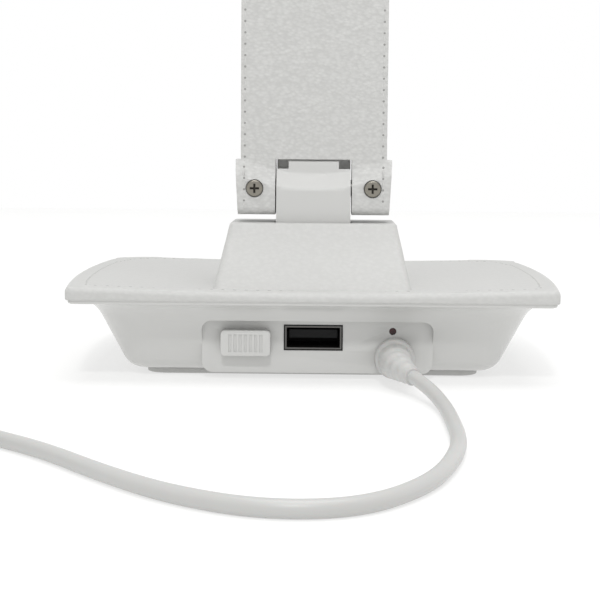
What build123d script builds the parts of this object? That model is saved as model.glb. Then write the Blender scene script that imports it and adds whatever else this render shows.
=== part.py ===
from build123d import *
import math
import os

# Table lamp with a leather-covered base, a folding arm and a folding head.
# Millimetres. Z is up, the table top is z = 0 and the back of the lamp faces +Y.
# The origin lies under the middle of the base.

# Base, outside sizes
base_width = 117.4
side_bow = 3.1
base_depth = 96.0
front_corner = 18.0
rear_corner = 1.5
pad_thickness = 1.5
pad_margin = 4.0
hull_height = 17.4
hull_foot_inset = 14.3
hull_wall_angle = 28.0
hull_wall = 2.0
hull_floor = 2.0
hull_foot_radius = 5.0
flare_radius = 7.5
band_height = 0.8
band_inset = 0.6
slab_thickness = 2.3
top_dip = 1.25
leather = 0.9

# Pedestal under the hinge: outside width and depth at three heights
pedestal_top = 36.0
pedestal_waist = 32.4
pedestal_foot_size = (45.4, 42.0)
pedestal_waist_size = (40.6, 24.0)
pedestal_top_size = (39.0, 21.0)
pedestal_corner = 1.6
pedestal_wall = 2.0
pedestal_roof = 4.0

# Port panel in the back of the hull
panel_inset = 10.5
panel_x = -1.25
panel_width = 53.5
panel_rise = 12.4
panel_corner = 2.5
panel_wall = 2.0
usb_x = -0.3
usb_z = 9.8
usb_width = 13.1
usb_height = 5.4
usb_depth = 14.0
usb_sheet = 0.35
tongue_width = 11.1
tongue_thickness = 1.9
tongue_recess = 1.2
knob_x = 15.3
knob_z = 8.7
knob_width = 11.5
knob_height = 6.0
knob_proud = 3.0
knob_ribs = 8
knob_rib_width = 0.5
knob_rib_depth = 0.3
knob_corner = 1.0
knob_travel = 2.0
knob_stem = 2.0
switch_width = 11.0
switch_height = 4.6
switch_depth = 5.0
switch_slot_depth = 3.0
led_x = -18.7
led_z = 11.4
led_hole = 1.7
led_body = 2.4
led_length = 5.0
jack_x = -19.1
jack_z = 5.4
jack_hole = 5.4
jack_bore = 3.7
jack_width = 7.6
jack_depth = 12.0
jack_below = 2.6

# Inside the base
board_size = (50.0, 21.0)
board_thickness = 1.6
board_z = 12.7
board_post = 5.0
board_post_x = 20.5
board_screw_shank = 1.8
board_screw_head = 3.6
board_screw_height = 1.3
board_screw_length = 6.0
inductor_size = (7.0, 7.0, 3.2)
inductor_corner = 1.5
large_chip = (5.0, 4.0, 1.6)
small_chip = (4.0, 4.0, 1.6)
capacitor_radius = 2.0
capacitor_height = 3.4
component_x = (8.0, -3.0, -12.0, 15.0)
component_row = 6.0
ballast_size = (56.0, 36.0)
ballast_thickness = 4.0
ballast_y = -8.0
battery_size = (50.0, 32.0)
battery_thickness = 6.0
base_screw_x = 33.0
base_screw_y = 25.0
base_screw_shank = 2.6
base_screw_head = 5.0
base_screw_head_height = 1.7
base_screw_length = 10.0
screw_boss = 6.5
screw_floor = 4.0
touch_width = 38.0
touch_depth = 14.0
touch_y = -28.0
touch_thickness = 1.2
touch_ledge = 1.8
touch_corner = 1.6
touch_board_thickness = 0.8

# Hinge between base and arm, and the limb shapes round it
hinge_y = 22.0
hinge_z = 44.0
neck_width = 17.5
neck_front = 6.4
neck_swing = 7.4
neck_notch = (2.8, 1.4)
neck_flange = (27.0, 17.0)
neck_flange_thickness = 3.0
neck_screw_x = 11.3
neck_screw_shank = 2.0
neck_screw_head = 4.0
neck_screw_head_height = 1.5
neck_screw_length = 6.5
shaft = 4.0
bush_outer = 6.4
bush_length = 13.5
washer_outer = 6.2

# Arm, measured from the hinge axis
arm_width = 34.6
arm_rear = 4.0
arm_front = 6.0
arm_length = 180.0
arm_wall = 1.6
arm_back = 2.0
arm_end = 10.0
cover_thickness = 1.5
cover_ledge = 0.8
ear_rear = 7.0
ear_top_width = 37.0
ear_foot_width = 35.7
ear_top = 6.8
ear_foot = 6.2
ear_front_radius = 5.6
ear_hem = 1.5
ear_rear_radius = 2.0
crease_middle = 3.3
crease_radius = 45.4
crease_slope = 3.5
wire_size = (3.0, 1.0)
hinge_screw_x = 13.9
hinge_screw_head = 3.9
hinge_screw_proud = 0.5
hinge_screw_cross = (0.5, 2.2)
hinge_screw_shank = 1.8

# Hinge between arm and head, and the head
fold_gap = 0.25
head_length = 150.0
head_width = 34.6
head_thickness = 12.0
head_tip_radius = 6.0
head_wall = 2.0
head_back = 2.0
head_end = 12.0
knuckle_radius = 4.5
upper_shaft = 3.0
upper_bush_outer = 5.0
upper_bush_length = 13.5
upper_washer_outer = 4.8
head_screw_head = 3.2
head_screw_head_height = 1.3
head_screw_cross = (0.4, 1.9)
head_screw_shank = 1.4
head_screw_length = 4.6
diffuser_thickness = 2.0
diffuser_ledge = 0.8
led_board_width = 26.0
led_board_thickness = 1.0
led_size = 2.8
led_height = 0.8
led_columns = 12
led_rows = 2
led_row_pitch = 11.0
reflector_wall = 1.0
reflector_lean = 2.5
reflector_corner = 2.0

# Charging lead
cord = 3.0
plug_barrel = 3.5
plug_barrel_length = 9.0
plug_collar = 9.2
plug_collar_length = 4.0
plug_neck = 7.6
plug_shoulder = 1.0
plug_barrel_bore = 1.2
plug_length = 11.0
relief_rings = 4
relief_root = 7.2
relief_tip = 4.0
relief_groove = 0.5
relief_bend = 4.0
coil_x = 92.0
coil_y = 112.0
coil_lift = 0.8
coil_outer = 20.6
coil_pitch = 3.6
coil_layer = 3.5
coil_layers = 4
coil_turns_per_layer = 2
tie_thickness = 0.5
tie_width = 9.0
tie_angle = 60.0
usb_plug_size = (15.0, 8.0, 21.0)
usb_plug_tongue = (12.0, 4.5, 11.8)
usb_plug_relief_length = 9.0
usb_plug_corner = 1.3

# Clearances
running_fit = 0.05
fixed_fit = 0.05
slide_gap = 0.3
hinge_gap = 0.3
swing_gap = 0.5
panel_gap = 0.15
far = 400.0

# Values that follow from the sizes above
panel_y = base_depth / 2 - panel_inset
deck_z = pad_thickness + hull_height
slab_top = deck_z + slab_thickness
floor_z = pad_thickness + hull_floor
wall_lean = math.tan(math.radians(hull_wall_angle))
wall_across = hull_wall / math.cos(math.radians(hull_wall_angle))
dip_radius = base_width**2 / (8 * top_dip)
neck_foot_z = pedestal_top - leather - pedestal_roof
bore_radius = shaft / 2 + running_fit
upper_bore_radius = upper_shaft / 2 + running_fit
ear_inner = neck_width / 2 + hinge_gap
hinge_screw_head_height = leather + hinge_screw_proud
upper_axis_y = hinge_y - arm_front - fold_gap
upper_axis_z = hinge_z + arm_length


def box(x, y, z):
    """Box between two X, two Y and two Z values."""
    size = (x[1] - x[0], y[1] - y[0], z[1] - z[0])
    middle = ((x[0] + x[1]) / 2, (y[0] + y[1]) / 2, (z[0] + z[1]) / 2)
    return Pos(*middle) * Box(*size)


def along_x(sketch, x_from, x_to):
    """Extrude a sketch, drawn in Y and Z, from one X to another."""
    return extrude(Plane((x_from, 0, 0), x_dir=(0, 1, 0), z_dir=(1, 0, 0)) * sketch, amount=x_to - x_from)


def along_y(sketch, x, z, y_from, y_to):
    """Extrude a sketch, drawn in X and Z about a point, from one Y to another."""
    plane = Plane((x, y_from, z), x_dir=(1, 0, 0), z_dir=(0, -1, 0))
    return extrude(plane * sketch, amount=y_from - y_to)


def upright(radius, x, y, z_from, z_to):
    """Vertical cylinder."""
    return Pos(x, y, z_from) * extrude(Circle(radius), amount=z_to - z_from)


def both_sides(solid):
    """A solid and its mirror image across the lamp's middle plane."""
    return [solid, mirror(solid, about=Plane.YZ)]


def joined(solids):
    """Several solids as one shape."""
    return Compound(children=[piece for solid in solids for piece in solid.solids()])


def outline(inset, front, rear):
    """Outline of the base with bowed sides, drawn in by an inset, with front and rear corner radii."""
    half_depth = base_depth / 2 - inset
    middle = base_width / 2 - inset
    end = middle - side_bow * (2 * half_depth / base_depth) ** 2
    edges = [
        Line((-end, -half_depth), (end, -half_depth)),
        ThreePointArc((end, -half_depth), (middle, 0), (end, half_depth)),
        Line((end, half_depth), (-end, half_depth)),
        ThreePointArc((-end, half_depth), (-middle, 0), (-end, -half_depth)),
    ]
    sheet = make_face(edges)
    sheet = fillet(sheet.vertices().group_by(Axis.Y)[0], front)
    return fillet(sheet.vertices().group_by(Axis.Y)[-1], rear)


# Lower housing

def hull():
    """Outside of the hull: leaning walls that flare out into a thin band under the slab."""
    band_z = deck_z - band_height
    foot = Pos(0, 0, pad_thickness) * outline(hull_foot_inset, front_corner / 2, hull_foot_radius)
    wall = extrude(foot, amount=band_z - pad_thickness, taper=-hull_wall_angle)
    seam_middles = [edge.center() for edge in wall.faces().sort_by(Axis.Z)[-1].edges()]
    band = outline(band_inset, front_corner - band_inset, rear_corner)
    band = Pos(0, 0, band_z) * extrude(band, amount=band_height)
    solid = wall + band
    seam = [e for e in solid.edges() if min((e.center() - m).length for m in seam_middles) < 0.01]
    solid = fillet(seam, flare_radius)
    return fillet(solid.edges().group_by(Axis.Z)[0], hull_foot_radius)


def hull_cavity():
    """Inside of the hull, open at the top."""
    inset = hull_foot_inset - hull_floor * wall_lean + wall_across
    mouth = Pos(0, 0, floor_z) * outline(inset, front_corner / 2, hull_foot_radius)
    return extrude(mouth, amount=deck_z - floor_z, taper=-hull_wall_angle)


def port_room():
    """Straight room behind the panel for the ports, on a level floor."""
    half = panel_width / 2 - hull_wall
    inner_y = panel_y - panel_wall
    return box((panel_x - half, panel_x + half), (board_y_range()[0], inner_y), (floor_z, deck_z))


def panel_window(grow=0.0):
    """Outline of the port panel about its own middle."""
    return RectangleRounded(panel_width + 2 * grow, panel_rise + 2 * grow, panel_corner)


def port_openings(y_from, y_to):
    """Openings of switch, USB socket, charge light and inlet through the panel."""
    slot_width = knob_stem + knob_travel + 2 * slide_gap
    slot = RectangleRounded(slot_width, knob_stem + 2 * slide_gap, slide_gap)
    shell = Rectangle(usb_width + 2 * panel_gap, usb_height + 2 * panel_gap)
    openings = [
        along_y(slot, knob_x + knob_travel / 2, knob_z, y_from, y_to),
        along_y(shell, usb_x, usb_z, y_from, y_to),
        along_y(Circle(led_hole / 2), led_x, led_z, y_from, y_to),
        along_y(Circle(jack_hole / 2), jack_x, jack_z, y_from, y_to),
    ]
    return openings


def base_screw_places():
    """Axes of the four screws that close the base."""
    return [(x, y) for x in (-base_screw_x, base_screw_x) for y in (-base_screw_y, base_screw_y)]


def board_screw_places():
    """Axes of the two screws of the main board."""
    y = panel_y - panel_wall - board_size[1] + board_post / 2 + board_screw_height
    return [(x, y) for x in (-board_post_x, board_post_x)]


def lower_housing():
    """Hull shell with the port panel, screw floors, board posts and a seat for the inlet."""
    panel_z = pad_thickness + panel_rise / 2
    inner_y = panel_y - panel_wall
    solid = hull() + along_y(panel_window(), panel_x, panel_z, inner_y - hull_wall, panel_y)
    solid -= along_y(panel_window(), panel_x, panel_z, panel_y, base_depth)
    wall_behind_panel = along_y(panel_window(hull_wall), panel_x, panel_z, inner_y, base_depth)
    solid -= hull_cavity() - wall_behind_panel
    solid -= port_room()
    pocket = box(
        (jack_x - jack_width / 2 - panel_gap, jack_x + jack_width / 2 + panel_gap),
        (inner_y - jack_depth - panel_gap, inner_y),
        (jack_z - jack_below, floor_z),
    )
    solid -= pocket
    for x, y in base_screw_places():
        solid += upright(screw_boss / 2 + 1, x, y, pad_thickness, pad_thickness + screw_floor)
        solid -= upright(base_screw_head / 2 + fixed_fit, x, y, 0, pad_thickness + base_screw_head_height)
        solid -= upright(base_screw_shank / 2 + fixed_fit, x, y, 0, pad_thickness + screw_floor)
    for x, y in board_screw_places():
        solid += upright(board_post / 2, x, y, pad_thickness, board_z)
        hole_z = board_z + board_thickness - board_screw_length
        solid -= upright(board_screw_shank / 2 + fixed_fit, x, y, hole_z, board_z)
    for opening in port_openings(inner_y - hull_wall, panel_y):
        solid -= opening
    return solid


def anti_slip_pad():
    """Soft pad under the whole floor."""
    inset = hull_foot_inset + pad_margin
    return extrude(outline(inset, front_corner / 2, hull_foot_radius), amount=pad_thickness)


def base_screws():
    """Four screws, driven up through the floor into the bosses of the top plate."""
    screws = []
    for x, y in base_screw_places():
        head_top = pad_thickness + base_screw_head_height
        head = upright(base_screw_head / 2, x, y, pad_thickness, head_top)
        shank = upright(base_screw_shank / 2, x, y, pad_thickness, head_top + base_screw_length)
        screws.append(head + shank)
    return joined(screws)


def ballast_plate():
    """Steel weight on the floor, in front of the board."""
    plate = extrude(RectangleRounded(*ballast_size, 2 * hull_wall), amount=ballast_thickness)
    return Pos(0, ballast_y, floor_z) * plate


def battery_cell():
    """Flat rechargeable cell on the ballast."""
    cell = extrude(RectangleRounded(*battery_size, hull_wall), amount=battery_thickness)
    cell = fillet(cell.edges().group_by(Axis.Z)[-1], hull_wall / 2)
    return Pos(0, ballast_y, floor_z + ballast_thickness) * cell


# Electronics behind the port panel

def board_y_range():
    """Front and back edge of the main board."""
    back = panel_y - panel_wall - panel_gap
    return back - board_size[1], back


def main_board():
    """Circuit board on two posts, with every port hanging from its underside."""
    y_range = board_y_range()
    half = board_size[0] / 2
    board = box((-half, half), y_range, (board_z, board_z + board_thickness))
    for x, y in board_screw_places():
        board -= upright(board_screw_shank / 2 + fixed_fit, x, y, board_z, board_z + board_thickness)
    return board


def board_screws():
    """Two small screws into the posts."""
    top = board_z + board_thickness
    screws = []
    for x, y in board_screw_places():
        screw = upright(board_screw_head / 2, x, y, top, top + board_screw_height)
        screws.append(screw + upright(board_screw_shank / 2, x, y, top - board_screw_length, top))
    return joined(screws)


def board_components():
    """Coil, two chips and two capacitors on top of the board."""
    top = board_z + board_thickness
    middle = sum(board_y_range()) / 2
    inductor_x, large_x, small_x, capacitor_x = component_x
    inductor = fillet(Box(*inductor_size).edges().filter_by(Axis.Z), inductor_corner)
    row = component_row / 2
    components = [
        Pos(inductor_x, middle, top + inductor_size[2] / 2) * inductor,
        Pos(large_x, middle, top + large_chip[2] / 2) * Box(*large_chip),
        Pos(small_x, middle + row, top + small_chip[2] / 2) * Box(*small_chip),
        upright(capacitor_radius, capacitor_x, middle + row, top, top + capacitor_height),
        upright(capacitor_radius, large_x, middle - component_row, top, top + capacitor_height),
    ]
    return joined(components)


def usb_outer(shrink=0.0):
    """Section of the socket's steel shell."""
    return Rectangle(usb_width - 2 * shrink, usb_height - 2 * shrink)


def usb_socket_shell():
    """Folded steel shell, closed at its back, with a rib up to the board."""
    front = panel_y - usb_depth
    shell = along_y(usb_outer(), usb_x, usb_z, front, panel_y)
    shell -= along_y(usb_outer(usb_sheet), usb_x, usb_z, front + usb_sheet, panel_y)
    half = usb_width / 2
    inner_y = panel_y - panel_wall - panel_gap
    for side in (-1, 1):
        edges = sorted((usb_x + side * half, usb_x + side * (half - usb_sheet)))
        shell += box(edges, (front, inner_y), (usb_z, board_z))
    return shell


def usb_socket_tongue():
    """Contact carrier inside the shell, towards its upper side."""
    front = panel_y - usb_depth + usb_sheet
    z = usb_z + usb_height / 2 - usb_sheet - tongue_recess / 2 - tongue_thickness / 2
    tongue = along_y(Rectangle(tongue_width, tongue_thickness), usb_x, z, front, panel_y - tongue_recess)
    block = Rectangle(usb_width - 2 * usb_sheet, usb_height - 2 * usb_sheet)
    return tongue + along_y(block, usb_x, usb_z, front, front + 2 * usb_sheet + tongue_recess)


def slide_switch_body():
    """Switch under the board with a slot for the knob's stem."""
    back = panel_y - panel_wall
    x = knob_x + knob_travel / 2
    half = switch_width / 2
    body = box((x - half, x + half), (back - switch_depth, back), (knob_z - switch_height / 2, board_z))
    slot = Rectangle(knob_stem + knob_travel + 2 * slide_gap, knob_stem + 2 * slide_gap)
    return body - along_y(slot, x, knob_z, back - switch_slot_depth, back)


def slide_knob():
    """Ribbed knob with the stem that moves the switch."""
    seat = panel_y + slide_gap
    plate = RectangleRounded(knob_width, knob_height, knob_corner)
    knob = along_y(plate, knob_x, knob_z, seat, panel_y + knob_proud)
    knob = fillet(knob.faces().sort_by(Axis.Y)[-1].edges(), knob_rib_depth)
    pitch = (knob_width - 2 * knob_corner) / knob_ribs
    for index in range(knob_ribs - 1):
        x = knob_x + (index - (knob_ribs - 2) / 2) * pitch
        groove = Rectangle(pitch - knob_rib_width, knob_height - 4 * knob_rib_width)
        knob -= along_y(groove, x, knob_z, panel_y + knob_proud - knob_rib_depth, panel_y + knob_proud)
    stem_end = panel_y - panel_wall - switch_slot_depth + slide_gap
    return knob + along_y(Rectangle(knob_stem, knob_stem), knob_x, knob_z, stem_end, seat)


def indicator_led():
    """Charge light: a small domed lamp whose nose stands in the panel's hole."""
    back = panel_y - panel_wall
    body = along_y(Circle(led_body / 2), led_x, led_z, back - led_length, back)
    nose = along_y(Circle(led_hole / 2 - fixed_fit), led_x, led_z, back, panel_y - panel_wall / 2)
    half = led_hole / 2
    foot = box((led_x - half, led_x + half), (back - led_length, back - led_hole), (led_z, board_z))
    return body + nose + foot


def dc_jack():
    """Round inlet on a tall block that hangs from the board."""
    back = panel_y - panel_wall
    half = jack_width / 2
    light_floor = led_z - led_body / 2 - slide_gap
    body = box((jack_x - half, jack_x + half), (back - jack_depth, back), (jack_z - jack_below, light_floor))
    tower = box(
        (jack_x - half, jack_x + half),
        (back - jack_depth, back - led_length - slide_gap),
        (light_floor, board_z),
    )
    nose = along_y(Circle(jack_hole / 2 - fixed_fit), jack_x, jack_z, back, panel_y)
    bore = along_y(Circle(jack_bore / 2), jack_x, jack_z, back - jack_depth + hull_wall, panel_y)
    return body + tower + nose - bore


# Leather-covered top of the base

def slab(inset):
    """Slab of the base, whose top face dips towards its middle."""
    block = outline(inset, front_corner - inset, rear_corner - inset / 2)
    block = extrude(block, amount=slab_thickness + 2 * top_dip)
    trough = Rot(90, 0, 0) * Cylinder(dip_radius + inset, 2 * base_depth)
    return Pos(0, 0, deck_z) * block - Pos(0, 0, slab_top + dip_radius) * trough


def pedestal_level(size, inset, z):
    """Rounded rectangle round the neck at one height of the pedestal."""
    return Pos(0, hinge_y, z) * RectangleRounded(size[0] - 2 * inset, size[1] - 2 * inset, pedestal_corner)


def pedestal(inset, roof, floor):
    """Pedestal box: a long ramp below a steep upper band."""
    foot = pedestal_level(pedestal_foot_size, inset, slab_top)
    waist = pedestal_level(pedestal_waist_size, inset, pedestal_waist)
    top = pedestal_level(pedestal_top_size, inset, pedestal_top - roof)
    root = extrude(foot, amount=floor - slab_top)
    ramp = loft([foot, waist], ruled=True) + root
    if pedestal_top - roof > pedestal_waist:
        return ramp + loft([waist, top], ruled=True)
    return ramp - box((-far, far), (-far, far), (pedestal_top - roof, far))


def neck_hole(gap):
    """Shape of the neck's column, for the holes that it stands in."""
    half = neck_width / 2 + gap
    return box((-half, half), (hinge_y - neck_front - gap, hinge_y + ear_rear + gap), (deck_z, far))


def touch_recess(gap, z):
    """Place of the touch panel in the slab's top."""
    window = RectangleRounded(touch_width + 2 * gap, touch_depth + 2 * gap, touch_corner)
    return Pos(0, touch_y, z) * extrude(window, amount=far)


def top_plate():
    """Rigid plate and pedestal box under the leather, with its screw bosses."""
    solid = slab(leather) + pedestal(leather, leather, slab_top - slab_thickness / 2)
    hollow = pedestal(leather + pedestal_wall, leather + pedestal_roof, deck_z)
    solid -= hollow
    solid -= neck_hole(fixed_fit)
    solid -= touch_recess(0, slab_top - touch_thickness)
    solid -= touch_recess(-touch_ledge, deck_z)
    for x, y in base_screw_places():
        tip = pad_thickness + screw_floor
        solid += upright(screw_boss / 2, x, y, tip, deck_z)
        hole_end = pad_thickness + base_screw_head_height + base_screw_length
        solid -= upright(base_screw_shank / 2 + fixed_fit, x, y, tip, hole_end)
    for x in (-neck_screw_x, neck_screw_x):
        hole_end = neck_foot_z - neck_flange_thickness + neck_screw_length
        solid -= upright(neck_screw_shank / 2 + fixed_fit, x, hinge_y, neck_foot_z, hole_end)
    return solid


def base_leather():
    """Leather skin of the slab and the pedestal, open where neck and touch panel stand."""
    solid = slab(0) + pedestal(0, 0, slab_top - leather / 2)
    solid -= slab(leather)
    solid -= pedestal(leather, leather, deck_z)
    solid -= neck_hole(hinge_gap)
    return solid - touch_recess(panel_gap, deck_z)


def touch_panel():
    """Glossy plate in the slab, level with the leather."""
    window = RectangleRounded(touch_width - 2 * fixed_fit, touch_depth - 2 * fixed_fit, touch_corner)
    plate = Pos(0, touch_y, slab_top - touch_thickness) * extrude(window, amount=touch_thickness)
    return plate


def touch_board():
    """Sensor board against the underside of the touch panel."""
    z = slab_top - touch_thickness
    margin = touch_ledge + panel_gap
    window = RectangleRounded(touch_width - 2 * margin, touch_depth - 2 * margin, touch_corner)
    return Pos(0, touch_y, z - touch_board_thickness) * extrude(window, amount=touch_board_thickness)


# Neck and lower hinge

def crease_cone(inset, grow=0.0):
    """Cone whose edge on the arm's back is the curved crease above the ears."""
    depth = ear_rear + 1 - (arm_rear - inset)
    cone = Cone(crease_radius, crease_radius + depth * crease_slope / (ear_rear - arm_rear), depth + grow)
    return Pos(0, arm_rear - inset + depth / 2, crease_middle + crease_radius) * Rot(-90, 0, 0) * cone


def ring(outer, inner, x_from, x_to):
    """Ring about the X axis."""
    return along_x(Circle(outer / 2) - Circle(inner), x_from, x_to)


def neck():
    """Hinge knuckle with a flange under the pedestal's roof."""
    half = neck_width / 2
    foot = neck_foot_z - hinge_z
    block = box((-half, half), (-neck_front, ear_rear), (foot, neck_swing))
    block -= crease_cone(0)
    block -= box((-far, far), (arm_rear, far), (crease_middle + crease_slope, far))
    column = box((-half, half), (-far, far), (foot, 0))
    block &= along_x(Circle(neck_swing), -half, half) + column
    notch_x, notch_z = neck_notch
    for side in (-1, 1):
        edges = sorted((side * half, side * (half - notch_x)))
        block -= box(edges, (0, far), (neck_swing - 2 * notch_z, far))
    block -= along_x(Circle(bush_outer / 2), -half, half)
    solid = Pos(0, hinge_y, hinge_z) * block
    flange_z = neck_foot_z - neck_flange_thickness
    solid += Pos(0, hinge_y, flange_z) * extrude(Rectangle(*neck_flange), amount=neck_flange_thickness)
    for x in (-neck_screw_x, neck_screw_x):
        solid -= upright(neck_screw_shank / 2 + fixed_fit, x, hinge_y, flange_z, neck_foot_z)
    return solid


def neck_screws():
    """Two screws that draw the neck's flange up against the roof."""
    z = neck_foot_z - neck_flange_thickness
    screws = []
    for x in (-neck_screw_x, neck_screw_x):
        screw = upright(neck_screw_head / 2, x, hinge_y, z - neck_screw_head_height, z)
        screws.append(screw + upright(neck_screw_shank / 2, x, hinge_y, z, z + neck_screw_length))
    return joined(screws)


def at_lower_hinge(solid):
    """Move a shape from the lower hinge's own frame to its place."""
    return Pos(0, hinge_y, hinge_z) * solid


def lower_friction_bush():
    """Bush in the neck that grips the shaft."""
    half = bush_length / 2
    return at_lower_hinge(ring(bush_outer, bore_radius, -half, half))


def washer_stack(outer, inner, x_from, x_to):
    """A flat washer and a spring washer on each side, filling the knuckle to its face."""
    middle = (x_from + x_to) / 2
    flat = ring(outer, inner, x_from, middle - fixed_fit)
    spring = ring(outer - 2 * fixed_fit, inner, middle, x_to)
    return joined(both_sides(flat) + both_sides(spring))


def lower_friction_washers():
    """Washers between the bush and the neck's side faces."""
    return at_lower_hinge(washer_stack(washer_outer, bore_radius, bush_length / 2, neck_width / 2))


def lower_hinge_shaft():
    """Steel shaft, held in the ears by the two hinge screws."""
    end = arm_width / 2 - leather
    pin = along_x(Circle(shaft / 2), -end, end)
    for x in (-hinge_screw_x, hinge_screw_x):
        pin -= along_y(Circle(hinge_screw_shank / 2 + fixed_fit), x, 0, -shaft, shaft)
    return at_lower_hinge(pin)


def hinge_screws():
    """Two pan head screws in the ears, with cross recesses."""
    screws = []
    top = ear_rear + hinge_screw_proud
    for x in (-hinge_screw_x, hinge_screw_x):
        head = along_y(Circle(hinge_screw_head / 2), x, 0, top - hinge_screw_head_height, top)
        head = fillet(head.edges().group_by(Axis.Y)[-1], hinge_screw_proud * 0.8)
        for cross in (hinge_screw_cross, hinge_screw_cross[::-1]):
            head -= along_y(Rectangle(*cross), x, 0, top - hinge_screw_head_height / 2, top)
        under_head = top - hinge_screw_head_height
        screws.append(head + along_y(Circle(hinge_screw_shank / 2), x, 0, -shaft / 2, under_head))
    return at_lower_hinge(joined(screws))


# Arm, in the lower hinge's own frame

def ear_shape(inset):
    """Both ears as one block, before the neck's slot is cut."""
    rear = ear_rear - inset
    foot = -ear_foot + inset
    top = ear_top - inset
    side = Rectangle(rear + arm_front, top - foot, align=Align.MIN)
    side = Pos(-arm_front, foot) * side
    low = side.vertices().group_by(Axis.Y)[0].sort_by(Axis.X)
    side = fillet(low[0], ear_front_radius - inset)
    low = side.vertices().group_by(Axis.X)[-1].sort_by(Axis.Y)
    side = fillet(low[0], ear_rear_radius)
    block = along_x(side, -far / 2, far / 2)
    half_top = ear_top_width / 2 - inset
    half_foot = ear_foot_width / 2 - inset
    left = [(-half_top, ear_top), (-half_foot, -ear_foot)]
    taper = Polygon(*left, (half_foot, -ear_foot), (half_top, ear_top), align=None)
    return (block & along_y(taper, 0, 0, -arm_front, ear_rear)) - crease_cone(inset)


def arm_shape(inset):
    """Arm and ears: inset 0 is the outside of the leather."""
    half = arm_width / 2 - inset
    top = arm_length - swing_gap
    solid = box((-half, half), (-arm_front, arm_rear - inset), (0, top)) + ear_shape(inset)
    solid -= along_x(Circle(neck_swing + swing_gap), -ear_inner, ear_inner)
    solid -= box((-ear_inner, ear_inner), (-far, far), (-far, 0))
    solid -= box((-ear_inner, ear_inner), (-far, 0), (0, neck_swing + swing_gap))
    axis = Pos(0, -arm_front - fold_gap, arm_length)
    for x_from, x_to in ((-far, -ear_inner), (ear_inner, far)):
        solid -= axis * along_x(Circle(knuckle_radius + swing_gap), x_from, x_to)
    return solid


def arm_frame():
    """Moulded channel with the ears' cores and the upper knuckle."""
    solid = arm_shape(leather)
    half = arm_width / 2 - leather - arm_wall
    back = arm_rear - leather - arm_back
    z_range = (arm_end, arm_length - arm_end)
    solid -= box((-half, half), (-arm_front, back), z_range)
    half_cover = half + cover_ledge
    ledge = (z_range[0] - cover_ledge, z_range[1] + cover_ledge)
    solid -= box((-half_cover, half_cover), (-arm_front, -arm_front + cover_thickness), ledge)
    solid -= along_x(Circle(shaft / 2 + fixed_fit), -far, far)
    for x in (-hinge_screw_x, hinge_screw_x):
        solid -= along_y(Circle(hinge_screw_shank / 2 + fixed_fit), x, 0, -shaft, far)
    half_knuckle = neck_width / 2
    axis = Pos(0, -arm_front - fold_gap, arm_length)
    solid += axis * along_x(Circle(knuckle_radius), -half_knuckle, half_knuckle)
    solid -= axis * along_x(Circle(upper_bush_outer / 2), -ear_inner, ear_inner)
    return at_lower_hinge(solid)


def arm_leather():
    """Leather round the back and the sides of the arm and over its ears."""
    solid = arm_shape(0) - arm_shape(leather)
    solid -= box((-far, far), (-far, -arm_front + ear_hem), (-far, 0))
    for x in (-hinge_screw_x, hinge_screw_x):
        solid -= along_y(Circle(hinge_screw_head / 2 + panel_gap), x, 0, 0, far)
    return at_lower_hinge(solid)


def arm_front_cover():
    """Snap-in cover of the channel."""
    half = arm_width / 2 - leather - arm_wall + cover_ledge - fixed_fit
    z_range = (arm_end - cover_ledge + fixed_fit, arm_length - arm_end + cover_ledge - fixed_fit)
    return at_lower_hinge(box((-half, half), (-arm_front, -arm_front + cover_thickness), z_range))


def arm_wire():
    """Flat two-core wire along the channel's back."""
    back = arm_rear - leather - arm_back
    width, thickness = wire_size
    z_range = (arm_end, arm_length - arm_end)
    return at_lower_hinge(box((-width / 2, width / 2), (back - thickness, back), z_range))


# Upper hinge and head, in the upper hinge's own frame with the head straight up

def at_upper_hinge(solid):
    """Move a shape from the upper hinge's own frame to its place on the arm."""
    return Pos(0, upper_axis_y, upper_axis_z) * solid


def at_head(solid):
    """The same for a piece of the head, which points forwards at rest."""
    return at_upper_hinge(Rot(90, 0, 0) * solid)


def upper_friction_bush():
    """Bush in the arm's knuckle."""
    half = upper_bush_length / 2
    return at_upper_hinge(ring(upper_bush_outer, upper_bore_radius, -half, half))


def upper_friction_washers():
    """Washers between that bush and the knuckle's faces."""
    stack = washer_stack(upper_washer_outer, upper_bore_radius, upper_bush_length / 2, neck_width / 2)
    return at_upper_hinge(stack)


def upper_hinge_shaft():
    """Steel shaft, held in the head's lugs."""
    end = head_width / 2 - leather
    pin = along_x(Circle(upper_shaft / 2), -end, end)
    for x in (-hinge_screw_x, hinge_screw_x):
        pin -= Pos(x, 0, 0) * Cylinder(head_screw_shank / 2 + fixed_fit, 2 * upper_shaft)
    return at_head(pin)


def head_hinge_screws():
    """Two small screws from the lugs' round ends into the shaft."""
    screws = []
    base = -knuckle_radius
    for x in (-hinge_screw_x, hinge_screw_x):
        head = upright(head_screw_head / 2, x, 0, base, base + head_screw_head_height)
        for cross in (head_screw_cross, head_screw_cross[::-1]):
            head -= Pos(x, 0, base) * extrude(Rectangle(*cross), amount=head_screw_head_height / 2)
        shank = upright(head_screw_shank / 2, x, 0, base + head_screw_head_height, base + head_screw_length)
        screws.append(head + shank)
    return at_head(joined(screws))


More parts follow.
